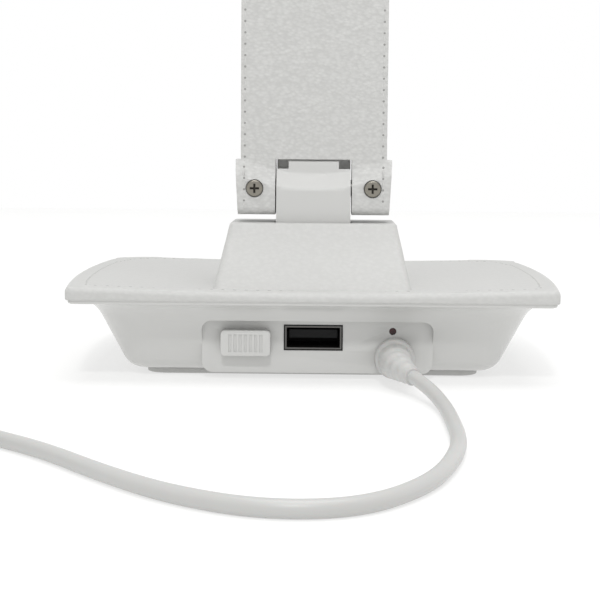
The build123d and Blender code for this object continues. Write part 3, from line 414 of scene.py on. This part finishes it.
def rim_points(mesh, inset, level):
    """Closely spaced points of a rim of the base, in plan, each with the way that is outward there.

    The rim lies at an inset from the outline, at a level, where a steep face meets a flat one.
    """
    mesh.normal_update()
    corners = []
    for vert in mesh.verts:
        slopes = [abs(f.normal.z) for f in vert.link_faces if f.calc_area() > sliver_area * mm ** 2]
        near_inset = abs(inset_in_plan(vert.co) - inset) < outline_slack
        near_level = abs(vert.co.z / mm - level(vert.co.x / mm)) < rim_level_slack
        if near_inset and near_level and slopes and min(slopes) < steep_slope and max(slopes) > flat_slope:
            corners.append(vert)
    points = [(vert.co.xy, vert.normal.xy.normalized()) for vert in corners]
    on_rim = set(corners)
    for edge in mesh.edges:
        if on_rim.issuperset(edge.verts) and edge.calc_face_angle(0) > math.radians(rim_angle):
            start, end = edge.verts
            count = max(1, int(edge.calc_length() / mm / rim_spacing))
            for step in range(1, count):
                outward = start.normal.xy.normalized().lerp(end.normal.xy.normalized(), step / count)
                points.append((start.co.xy.lerp(end.co.xy, step / count), outward.normalized()))
    return sorted(points, key=lambda point: tuple(point[0]))


flat_level_slack = 0.12
side_slack = 0.06
least_lean = 0.3


def soften_rim(mesh, inset, level, side_way, radius):
    """Round a rim of the base, where its side meets a flat, by moving its points onto an arc.

    The rim itself goes to the middle of the arc. The points of the side and of the flat that lie
    within a radius of it are spread over the arc's two halves. side_way is 1 where the side runs
    down from the flat, and -1 where it runs up.
    """
    points = rim_points(mesh, inset, level)
    nearest = kdtree.KDTree(len(points))
    for index, (point, _) in enumerate(points):
        nearest.insert(point.to_3d(), index)
    nearest.balance()
    moves = []
    for vert in mesh.verts:
        down = (level(vert.co.x / mm) - vert.co.z / mm) * side_way
        _, index, gone = nearest.find(vert.co.xy.to_3d())
        gone /= mm
        if not (-flat_level_slack < down < radius and gone < radius):
            continue
        on_side = gone < side_slack and vert.normal.xy.length > least_lean
        on_flat = not on_side and down < flat_level_slack and vert.normal.z * side_way > least_lean
        if not (on_flat or on_side):
            continue
        inward = -points[index][1]
        along = down if on_side else -gone
        angle = (along / radius + 1) * math.pi / 4
        sideways = radius * (1 - math.sin(angle)) - (0 if on_side else gone)
        downwards = radius * (1 - math.cos(angle)) - (max(down, 0) if on_side else 0)
        moves.append((vert, Vector((inward.x * sideways, inward.y * sideways, -side_way * downwards)) * mm))
    for vert, move in moves:
        vert.co += move


hull_abs = moulded_plastic("moulded_gloss_white_abs", "#cbcbc9", roughness=0.2, ripple=0.1)
# Bright and glossy, with reflections that waver a little.
band_inset = 0.6
band_bottom = 18.1
band_top = 18.9
band_margin = 0.5
flat_half_width = 40
flat_half_depth = 36
left = Vector((1, 0, 0))
back = Vector((0, 1, 0))
up = Vector((0, 0, 1))
mesh = merged_copy("lower_housing")
below_band = (band_bottom - band_margin) * mm
round_edges(mesh, radius=0.25, angle=40, which=lambda e: max(v.co.z for v in e.verts) < below_band)
slice_evenly(mesh, up, band_bottom, band_top, step=0.16)
slice_near_ends(mesh, left, flat_half_width, end=58.6, step=0.9)
slice_near_ends(mesh, back, flat_half_depth, end=48.0, step=0.9)
soften_rim(mesh, band_inset, lambda x: band_bottom, side_way=-1, radius=0.6)
finished("hull", mesh, hull_abs, "base", "lower_housing")
mesh = merged_copy("slide_knob")
round_edges(mesh, radius=0.08, angle=50)
finished("ribbed_knob", mesh, hull_abs, "slide_knob", "slide_knob")
dress(hull_abs, "arm_front_cover")

# Pad under the base: light grey foam rubber, die-cut a little smaller than the hull's underside and
# glued to it, so that the lamp doesn't slide.
pad_rubber, shader = new_material("die_cut_foam_rubber")
# Dull light grey with fine open cells at its cut edge.
place = add_node(pad_rubber, "ShaderNodeTexCoord").outputs["Object"]
cells = add_node(pad_rubber, "ShaderNodeTexVoronoi", {"Scale": 2200.0}, {"Vector": place})
bump = add_node(pad_rubber, "ShaderNodeBump", {"Strength": 0.7, "Distance": 0.1 * mm},
                {"Height": cells.outputs["Distance"]})
feed(pad_rubber, shader, "Normal", bump.outputs["Normal"])
shader.inputs["Base Color"].default_value = linear("#c0c0be")
shader.inputs["Roughness"].default_value = 0.95
mesh = merged_copy("anti_slip_pad")
round_edges(mesh, radius=0.3, angle=40)
finished("foam_pad", mesh, pad_rubber, "base", "anti_slip_pad")

# Leather: split cowhide with a white pigment finish, embossed with a fine pebble grain. It is
# glued over the base's slab and pedestal, over the arm and over the head, and sewn along its edges.
deck_top = 21.2
top_dip = 1.25


def deck_height(x):
    """Height of the base's dipped top."""
    return deck_top + top_dip * (x / base_middle_half) ** 2


def embossed_leather(name, dark, light, depth):
    """Semi-matt: pebbles of about 0.8 mm with darker creases between them, and a cloudy tint."""
    leather, leather_shader = new_material(name)
    at = add_node(leather, "ShaderNodeTexCoord").outputs["Object"]
    pull = {"Scale": (0.7, 1.0, 1.15), "Rotation": (0.0, 0.3, 0.0)}
    stretch = add_node(leather, "ShaderNodeMapping", pull, {"Vector": at})
    pebbles = add_node(leather, "ShaderNodeTexVoronoi", {"Scale": 1250.0},
                       {"Vector": stretch.outputs["Vector"]})
    creases = add_node(leather, "ShaderNodeTexNoise", {"Scale": 900.0, "Detail": 4.0, "Roughness": 0.6},
                       {"Vector": stretch.outputs["Vector"]})
    domes = add_node(leather, "ShaderNodeMath", {1: 0.55}, {0: pebbles.outputs["Distance"]},
                     operation="MULTIPLY")
    grain = add_node(leather, "ShaderNodeMath", links={0: creases.outputs["Fac"], 1: domes.outputs["Value"]},
                     operation="SUBTRACT")
    relief = add_node(leather, "ShaderNodeBump", {"Strength": 0.55, "Distance": depth * mm},
                      {"Height": grain.outputs["Value"]})
    cloud = add_node(leather, "ShaderNodeTexNoise", {"Scale": 45.0, "Detail": 4.0}, {"Vector": at})
    mixed = add_node(leather, "ShaderNodeMath", {1: 0.15},
                     {0: cloud.outputs["Fac"], 2: grain.outputs["Value"]}, operation="MULTIPLY_ADD")
    pigment = add_node(leather, "ShaderNodeValToRGB", links={"Fac": mixed.outputs["Value"]})
    pigment.color_ramp.elements[0].position = 0.15
    pigment.color_ramp.elements[0].color = linear(dark)
    pigment.color_ramp.elements[1].position = 0.7
    pigment.color_ramp.elements[1].color = linear(light)
    dull = add_node(leather, "ShaderNodeMapRange", {"To Min": 0.42, "To Max": 0.6},
                    {"Value": creases.outputs["Fac"]})
    feed(leather, leather_shader, "Base Color", pigment.outputs["Color"])
    feed(leather, leather_shader, "Normal", relief.outputs["Normal"])
    feed(leather, leather_shader, "Roughness", dull.outputs["Result"])
    leather_shader.inputs["IOR"].default_value = 1.46
    return leather


# The limbs show the full grain. On the base the leather is pulled flat, so its grain is fainter.
limb_leather = embossed_leather("pigmented_embossed_white_leather", "#c2c2c0", "#d1d1cf", depth=0.17)
base_leather = embossed_leather("stretched_embossed_white_leather", "#c4c4c2", "#cacac8", depth=0.07)


def ruffle(mesh, depth, width, scale):
    """Move every point a little along its normal, in creases that run across the lamp."""
    mesh.normal_update()
    for vert in mesh.verts:
        at = Vector((vert.co.x / width, vert.co.y, vert.co.z)) / (scale * mm)
        vert.co += vert.normal * noise.noise(at) * depth * mm


mesh = merged_copy("base_leather")
shoulder = 34 * mm
round_edges(mesh, radius=0.8, angle=25, segments=4, which=lambda e: min(v.co.z for v in e.verts) > shoulder)
slice_evenly(mesh, left, -flat_half_width, flat_half_width, step=2.0)
slice_evenly(mesh, back, -flat_half_depth, flat_half_depth, step=2.0)
slice_near_ends(mesh, left, flat_half_width, end=58.9, step=0.6)
slice_near_ends(mesh, back, flat_half_depth, end=48.3, step=0.5)
slice_evenly(mesh, up, band_top, high=22.9, step=0.3)
soften_rim(mesh, 0.0, deck_height, side_way=1, radius=1.5)
soften_rim(mesh, 0.0, lambda x: band_top, side_way=-1, radius=0.5)
ruffle(mesh, depth=0.03, width=1.0, scale=2.4)
finished("base_cover", mesh, base_leather, "base", "base_leather", crisp=60)
mesh = merged_copy("arm_leather")
round_edges(mesh, radius=0.4, angle=50, segments=3)
slice_evenly(mesh, up, low=37, high=224, step=1.3)
slice_evenly(mesh, left, low=-19, high=19, step=1.5)
ruffle(mesh, depth=0.03, width=1.6, scale=1.3)
finished("arm_cover", mesh, limb_leather, "arm", "arm_leather", crisp=60)
mesh = merged_copy("head_leather")
round_edges(mesh, radius=0.4, angle=25, segments=3)
slice_evenly(mesh, back, low=-135, high=21, step=1.6)
slice_evenly(mesh, left, low=-18, high=18, step=2.0)
ruffle(mesh, depth=0.025, width=2.4, scale=1.3)
finished("head_cover", mesh, limb_leather, "head", "head_leather", crisp=60)

# Seams: bonded white polyester thread in a lockstitch. Between the stitches the needle's holes are
# flat grey domes, painted shade of the holes. On the base the stitches pull the holes longer.
stitch_pitch = 2.64
thread_length = 1.75
thread_width = 0.42
thread_sunk = 0.1
hole_width = 0.56
hole_rise = 0.06


def sewn(name, stitches, body, hole_length):
    """Threads of a seam, and grey domes as painted shade of its needle holes. A stitch is its middle, its way
    and the leather's normal.
    """
    threads = bmesh.new()
    holes = bmesh.new()
    for middle, way, out in stitches:
        side = out.cross(way)
        turn = Matrix((way, side, out)).transposed().to_4x4()
        at = Matrix.Translation((middle - out * thread_sunk) * mm)
        size = Matrix.Diagonal((thread_length / 2 * mm, thread_width / 2 * mm, thread_width / 2 * mm, 1))
        bmesh.ops.create_uvsphere(threads, u_segments=8, v_segments=6, radius=1, matrix=at @ turn @ size)
        # Each hole is a flat grey dome at the surface, painted as the shade inside a hole.
        hole_at = Matrix.Translation((middle + way * stitch_pitch / 2) * mm)
        size = Matrix.Diagonal((hole_length / 2 * mm, hole_width / 2 * mm, hole_rise * mm, 1))
        bmesh.ops.create_uvsphere(holes, u_segments=10, v_segments=4, radius=1, matrix=hole_at @ turn @ size)
    finished(f"{name}_thread", threads, thread_finish, body, None, crisp=80)
    finished(f"{name}_needle_hole_shade", holes, hole_shade_paint, body, None, crisp=80)


thread_finish, shader = new_material("bonded_white_polyester_thread")
# Slightly shiny, with the twist of three plies at 0.3 mm.
place = add_node(thread_finish, "ShaderNodeTexCoord").outputs["Object"]
plies = add_node(thread_finish, "ShaderNodeTexWave", {"Scale": 900.0, "Distortion": 1.0}, {"Vector": place},
                 bands_direction="DIAGONAL")
bump = add_node(thread_finish, "ShaderNodeBump", {"Strength": 0.5, "Distance": 0.05 * mm},
                {"Height": plies.outputs["Fac"]})
feed(thread_finish, shader, "Normal", bump.outputs["Normal"])
shader.inputs["Base Color"].default_value = linear("#cbcbc9")
shader.inputs["Roughness"].default_value = 0.5
hole_shade_paint, shader = new_material("painted_shade_of_needle_hole")
# Painted shade of a hole's wall: mottled grey, with no shine.
place = add_node(hole_shade_paint, "ShaderNodeTexCoord").outputs["Object"]
fibres = add_node(hole_shade_paint, "ShaderNodeTexNoise", {"Scale": 3000.0}, {"Vector": place})
tint = add_node(hole_shade_paint, "ShaderNodeValToRGB", links={"Fac": fibres.outputs["Fac"]})
tint.color_ramp.elements[0].color = linear("#8c8c8a")
tint.color_ramp.elements[1].color = linear("#a4a4a1")
feed(hole_shade_paint, shader, "Base Color", tint.outputs["Color"])
shader.inputs["Roughness"].default_value = 0.95

seam_x = 16.35
arm_rear = 26.0
arm_seam_start = 50.06
arm_seam_count = 66
ear_rear = 29.0
ear_seam_start = 39.8
ear_seam_count = 4
arm_stitches = []
for side in (-1, 1):
    for index in range(arm_seam_count):
        level = arm_seam_start + index * stitch_pitch
        arm_stitches.append((Vector((side * seam_x, arm_rear, level)), up, back))
    for index in range(ear_seam_count):
        level = ear_seam_start + index * stitch_pitch
        arm_stitches.append((Vector((side * seam_x, ear_rear, level)), up, back))
sewn("arm_seam", arm_stitches, "arm", hole_length=0.56)

head_top = 236.25
head_seam_start = 10.0
head_seam_count = 52
head_stitches = []
for side in (-1, 1):
    for index in range(head_seam_count):
        y = head_seam_start - index * stitch_pitch
        head_stitches.append((Vector((side * seam_x, y, head_top)), -back, up))
sewn("head_seam", head_stitches, "head", hole_length=0.56)

seam_inset = 4.4
seam_end = base_half_depth - seam_inset
seam_rear_corner = 2.5
seam_front_corner = front_corner - seam_inset
seam_steps = 12


def seam_side(y):
    """How far from the middle the base's seam runs along a bowed side."""
    return base_middle_half - seam_inset - side_bow * (y / base_half_depth) ** 2


def base_seam_line():
    """Closed line of the base's seam in plan: bowed sides, tight rear corners, wide front corners."""
    line = []
    corners = (
        (1, seam_end, seam_rear_corner, 0),
        (-1, seam_end, seam_rear_corner, 90),
        (-1, -seam_end, seam_front_corner, 180),
        (1, -seam_end, seam_front_corner, 270),
    )
    for side, end, radius, start_angle in corners:
        x = side * (seam_side(end) - radius)
        y = end - math.copysign(radius, end)
        for step in range(seam_steps + 1):
            angle = math.radians(start_angle + step * 90 / seam_steps)
            line.append(Vector((x + radius * math.cos(angle), y + radius * math.sin(angle), 0)))
        if start_angle in (90, 270):
            next_radius = seam_front_corner if end > 0 else seam_rear_corner
            next_end = -end + math.copysign(next_radius, end)
            last_y = line[-1].y
            for step in range(1, seam_steps):
                y = last_y + (next_end - last_y) * step / seam_steps
                line.append(Vector((side * seam_side(y), y, 0)))
    return line + line[:1]


def even_places(line, pitch):
    """Evenly spaced places along a line, each with its direction."""
    lengths = [(b - a).length for a, b in zip(line, line[1:])]
    count = round(sum(lengths) / pitch)
    places, index, gone = [], 0, 0.0
    for number in range(count):
        wanted = number * sum(lengths) / count
        while gone + lengths[index] < wanted:
            gone += lengths[index]
            index += 1
        way = (line[index + 1] - line[index]).normalized()
        places.append((line[index] + way * (wanted - gone), way))
    return places


base_stitches = []
for at, way in even_places(base_seam_line(), stitch_pitch):
    out = Vector((-2 * top_dip * at.x / base_middle_half ** 2, 0, 1)).normalized()
    way = (way - out * way.dot(out)).normalized()
    base_stitches.append((Vector((at.x, at.y, deck_height(at.x))), way, out))
sewn("base_seam", base_stitches, "base", hole_length=0.9)

# Neck, and the moulded cores of arm and head: the hull's white ABS. The neck is screwed to the
# pedestal, and its mould was blasted. The cores are glossy, and the leather is glued to them.
satin_abs = moulded_plastic("moulded_satin_white_abs", "#c9c9c7", roughness=0.42, ripple=0.1)
# Satin, so that its curves show by their shade and not by reflections.
mesh = merged_copy("neck")
round_edges(mesh, radius=0.3, angle=50, segments=3)
slice_evenly(mesh, up, low=36, high=56, step=1.2)
slice_evenly(mesh, left, low=-10, high=10, step=1.5)
finished("satin_neck", mesh, satin_abs, "base", "neck", crisp=60)
mesh = merged_copy("arm_frame")
round_edges(mesh, radius=0.2, angle=40)
finished("arm_core", mesh, hull_abs, "arm", "arm_frame")
mesh = merged_copy("head_housing")
round_edges(mesh, radius=0.2, angle=40)
finished("head_tray", mesh, hull_abs, "head", "head_housing")

# Screws in the ears: nickel-plated steel with pan heads, which hold the arm's ears to the lower
# hinge. They are dulled by handling. Their cross recess and the sides of their heads carry painted shade.
screw_nickel, shader = new_material("dulled_nickel_screw_head")
# Grey with a warm tint and the turning marks of the head.
place = add_node(screw_nickel, "ShaderNodeTexCoord").outputs["Object"]
turning = add_node(screw_nickel, "ShaderNodeTexNoise", {"Scale": 1500.0, "Detail": 3.0}, {"Vector": place})
rough = add_node(screw_nickel, "ShaderNodeMapRange", {"To Min": 0.28, "To Max": 0.5},
                 {"Value": turning.outputs["Fac"]})
feed(screw_nickel, shader, "Roughness", rough.outputs["Result"])
shader.inputs["Base Color"].default_value = linear("#928e85")
shader.inputs["Metallic"].default_value = 1.0
painted_recess_shade, shader = new_material("painted_shade_in_cross_recess")
# Painted shade for the cross recess and the heads' sides: nearly black and dull, with brown specks.
place = add_node(painted_recess_shade, "ShaderNodeTexCoord").outputs["Object"]
shade_specks = add_node(painted_recess_shade, "ShaderNodeTexNoise", {"Scale": 2500.0}, {"Vector": place})
tint = add_node(painted_recess_shade, "ShaderNodeValToRGB", links={"Fac": shade_specks.outputs["Fac"]})
tint.color_ramp.elements[0].color = linear("#25221d")
tint.color_ramp.elements[1].color = linear("#48443b")
feed(painted_recess_shade, shader, "Base Color", tint.outputs["Color"])
shader.inputs["Roughness"].default_value = 0.8
screw_x = 13.9
hinge_height = 44.0
screw_top = 29.5
recess_radius = 1.2
recess_depth = 0.9
recess_lip = 0.02
head_edge_radius = 1.85
head_edge_depth = 0.3
mesh = merged_copy("hinge_screws")
# Faces in the cross recess and on the sides of the heads get the near-black painted shade.
for face in mesh.faces:
    middle = face.calc_center_median() / mm
    from_axis = math.hypot(abs(middle.x) - screw_x, middle.z - hinge_height)
    below_top = screw_top - middle.y
    recess_in_shade = from_axis < recess_radius and recess_lip < below_top < recess_depth
    side_in_shade = from_axis > head_edge_radius and below_top > head_edge_depth
    face.material_index = 1 if recess_in_shade or side_in_shade else 0
ear_screws = finished("ear_screws", mesh, screw_nickel, "arm", "hinge_screws")
ear_screws.data.materials.append(painted_recess_shade)

# Plastic pieces that are inside or small: the plate under the leather, the light's reflector, the
# hinges' friction bushes, the switch, the jack and the components, the arm's wire, and the touch
# panel, which is let into the slab in front of the pedestal.
inner_abs = moulded_plastic("moulded_matt_white_abs", "#dededb", roughness=0.55, ripple=0.4)
# White and matt, without clear reflections.
dress(inner_abs, "top_plate", "reflector")
acetal = moulded_plastic("turned_grey_acetal", "#6a6a68", roughness=0.4, ripple=0.2)
# Mid grey and waxy.
dress(acetal, "lower_friction_bush", "upper_friction_bush")
black_plastic = moulded_plastic("moulded_black_plastic", "#1b1b1c", roughness=0.45, ripple=0.3)
# Black with a dull shine.
dress(black_plastic, "slide_switch_body", "dc_jack", "board_components")
dress(pvc, "arm_wire")
touch_acrylic = moulded_plastic("polished_white_acrylic", "#e6e6e5", roughness=0.08, ripple=0.03)
# White and polished, with reflections as in glass.
dress(touch_acrylic, "touch_panel")

# Charging socket: a folded steel shell whose front edge shows as a thin grey line, painted darker
# as shade, round a black plastic tongue, and a black ring as painted shadow in the dark gap that the
# hull's opening leaves round it.
shaded_socket_steel, shader = new_material("folded_steel_in_painted_shade")
# Dull grey, painted darker than bare steel as painted shade, with the drawing lines of the sheet.
place = add_node(shaded_socket_steel, "ShaderNodeTexCoord").outputs["Object"]
drawn = add_node(shaded_socket_steel, "ShaderNodeTexNoise", {"Scale": 1800.0, "Detail": 2.0}, {"Vector": place})
rough = add_node(shaded_socket_steel, "ShaderNodeMapRange", {"To Min": 0.35, "To Max": 0.5},
                 {"Value": drawn.outputs["Fac"]})
feed(shaded_socket_steel, shader, "Roughness", rough.outputs["Result"])
shader.inputs["Base Color"].default_value = linear("#6a6967")
shader.inputs["Metallic"].default_value = 1.0
dress(shaded_socket_steel, "usb_socket_shell")
socket_black, shader = new_material("moulded_black_pbt")
# Deep black and dull, with the fine texture of the glass fibre in it.
place = add_node(socket_black, "ShaderNodeTexCoord").outputs["Object"]
fibre = add_node(socket_black, "ShaderNodeTexNoise", {"Scale": 2800.0}, {"Vector": place})
bump = add_node(socket_black, "ShaderNodeBump", {"Strength": 0.2, "Distance": 0.02 * mm},
                {"Height": fibre.outputs["Fac"]})
feed(socket_black, shader, "Normal", bump.outputs["Normal"])
shader.inputs["Base Color"].default_value = linear("#101011")
shader.inputs["Roughness"].default_value = 0.6
shader.inputs["Specular IOR Level"].default_value = 0.25
dress(socket_black, "usb_socket_tongue")
socket_middle = (-0.3, 37.5, 9.8)
socket_width = 13.1
socket_height = 5.4
shadow_ring_width = 0.28
shadow_ring_depth = 0.12
shadow_ring_size = ((socket_width + 2 * shadow_ring_width) * mm, (socket_height + 2 * shadow_ring_width) * mm, 1)
# A thin flat ring of the black plastic round the shell: painted shadow of the gap between the shell and the
# hull's opening.
mesh = bmesh.new()
bmesh.ops.create_grid(mesh, x_segments=1, y_segments=1, size=0.5)
bmesh.ops.scale(mesh, vec=shadow_ring_size, verts=mesh.verts)
rim = bmesh.ops.inset_individual(mesh, faces=mesh.faces[:], thickness=shadow_ring_width * mm, use_even_offset=True)
inner = [f for f in mesh.faces if f not in rim["faces"]]
bmesh.ops.delete(mesh, geom=inner, context="FACES")
raised = bmesh.ops.extrude_face_region(mesh, geom=mesh.faces[:])
lifted = [v for v in raised["geom"] if isinstance(v, bmesh.types.BMVert)]
bmesh.ops.translate(mesh, vec=(0, 0, shadow_ring_depth * mm), verts=lifted)
bmesh.ops.rotate(mesh, cent=(0, 0, 0), matrix=Matrix.Rotation(math.radians(-90), 3, "X"), verts=mesh.verts)
bmesh.ops.translate(mesh, vec=Vector(socket_middle) * mm, verts=mesh.verts)
bmesh.ops.recalc_face_normals(mesh, faces=mesh.faces)
finished("painted_socket_gap_shadow", mesh, socket_black, "base", None)

# Steel inside: the ballast plate, cut from rolled sheet, lies in the hull and keeps the lamp from
# tipping. The hinges' shafts are turned, and their friction washers are punched.
steel, shader = new_material("rolled_bright_steel")
# Grey with fine rolling lines.
place = add_node(steel, "ShaderNodeTexCoord").outputs["Object"]
lines = add_node(steel, "ShaderNodeMapping", {"Scale": (0.05, 1.0, 1.0)}, {"Vector": place})
grain = add_node(steel, "ShaderNodeTexNoise", {"Scale": 1800.0, "Detail": 3.0},
                 {"Vector": lines.outputs["Vector"]})
rough = add_node(steel, "ShaderNodeMapRange", {"To Min": 0.25, "To Max": 0.45},
                 {"Value": grain.outputs["Fac"]})
feed(steel, shader, "Roughness", rough.outputs["Result"])
shader.inputs["Base Color"].default_value = linear("#9b9a97")
shader.inputs["Metallic"].default_value = 1.0
dress(steel, "ballast_plate", "lower_hinge_shaft", "upper_hinge_shaft", "lower_friction_washers",
      "upper_friction_washers")

# Circuit boards of the base: glass cloth in epoxy under a green solder mask. One carries the
# charging and the light's electronics, the other senses a finger through the touch panel.
laminate, shader = new_material("solder_masked_glass_laminate")
# Green mask over the weave of the glass cloth.
place = add_node(laminate, "ShaderNodeTexCoord").outputs["Object"]
cloth = add_node(laminate, "ShaderNodeTexVoronoi", {"Scale": 1600.0}, {"Vector": place}, distance="CHEBYCHEV")
tint = add_node(laminate, "ShaderNodeValToRGB", links={"Fac": cloth.outputs["Distance"]})
tint.color_ramp.elements[0].color = linear("#1d5a34")
tint.color_ramp.elements[1].color = linear("#174a2b")
feed(laminate, shader, "Base Color", tint.outputs["Color"])
shader.inputs["Roughness"].default_value = 0.35
dress(laminate, "main_board", "touch_board")

# Battery: a flat rechargeable cell, wound and sealed in a pouch of pressed aluminium foil. It lies
# flat in the hull.
foil, shader = new_material("pressed_aluminium_pouch")
# Dull silver with the press's shallow waves.
place = add_node(foil, "ShaderNodeTexCoord").outputs["Object"]
waves = add_node(foil, "ShaderNodeTexNoise", {"Scale": 220.0, "Detail": 3.0}, {"Vector": place})
bump = add_node(foil, "ShaderNodeBump", {"Strength": 0.4, "Distance": 0.1 * mm},
                {"Height": waves.outputs["Fac"]})
feed(foil, shader, "Normal", bump.outputs["Normal"])
shader.inputs["Base Color"].default_value = linear("#c9cacb")
shader.inputs["Metallic"].default_value = 0.9
shader.inputs["Roughness"].default_value = 0.42
dress(foil, "battery_cell")

# Charge light: a small light-emitting diode, cast in red epoxy, which sits behind a round hole in
# the port panel. It is off.
red_epoxy, shader = new_material("cast_red_epoxy")
# Dark red and glossy, with a little mottling.
place = add_node(red_epoxy, "ShaderNodeTexCoord").outputs["Object"]
mottle = add_node(red_epoxy, "ShaderNodeTexNoise", {"Scale": 1400.0}, {"Vector": place})
tint = add_node(red_epoxy, "ShaderNodeValToRGB", links={"Fac": mottle.outputs["Fac"]})
tint.color_ramp.elements[0].color = linear("#1d060a")
tint.color_ramp.elements[1].color = linear("#5a1420")
feed(red_epoxy, shader, "Base Color", tint.outputs["Color"])
shader.inputs["Roughness"].default_value = 0.15
dress(red_epoxy, "indicator_led")

# Diffuser of the head: a strip of cast opal acrylic, which closes the head's tray and spreads the
# light.
opal, shader = new_material("cast_opal_acrylic")
# White and milky, with a fine frosted outside.
place = add_node(opal, "ShaderNodeTexCoord").outputs["Object"]
frost = add_node(opal, "ShaderNodeTexNoise", {"Scale": 4000.0}, {"Vector": place})
bump = add_node(opal, "ShaderNodeBump", {"Strength": 0.2, "Distance": 0.02 * mm},
                {"Height": frost.outputs["Fac"]})
feed(opal, shader, "Normal", bump.outputs["Normal"])
shader.inputs["Base Color"].default_value = linear("#f0f0ec")
shader.inputs["Roughness"].default_value = 0.45
shader.inputs["Subsurface Weight"].default_value = 0.3
shader.inputs["Subsurface Scale"].default_value = 0.002
dress(opal, "diffuser")

# Light board of the head: an aluminium board with a white solder mask, which carries the diodes and
# takes up their heat.
board_metal, shader = new_material("white_masked_aluminium_board")
# White solder mask, slightly uneven where it was screened on.
place = add_node(board_metal, "ShaderNodeTexCoord").outputs["Object"]
mask = add_node(board_metal, "ShaderNodeTexNoise", {"Scale": 500.0}, {"Vector": place})
rough = add_node(board_metal, "ShaderNodeMapRange", {"To Min": 0.35, "To Max": 0.5},
                 {"Value": mask.outputs["Fac"]})
feed(board_metal, shader, "Roughness", rough.outputs["Result"])
shader.inputs["Base Color"].default_value = linear("#e9e9e6")
dress(board_metal, "led_board")

# Diodes on the light board: small packages, each filled with clear silicone that holds the phosphor
# and soldered to the board.
phosphor, shader = new_material("silicone_with_phosphor")
# Soft yellow, with the grains of phosphor.
place = add_node(phosphor, "ShaderNodeTexCoord").outputs["Object"]
grains = add_node(phosphor, "ShaderNodeTexNoise", {"Scale": 6000.0}, {"Vector": place})
tint = add_node(phosphor, "ShaderNodeValToRGB", links={"Fac": grains.outputs["Fac"]})
tint.color_ramp.elements[0].color = linear("#d8bd45")
tint.color_ramp.elements[1].color = linear("#e8d47a")
feed(phosphor, shader, "Base Color", tint.outputs["Color"])
shader.inputs["Roughness"].default_value = 0.5
dress(phosphor, "leds")
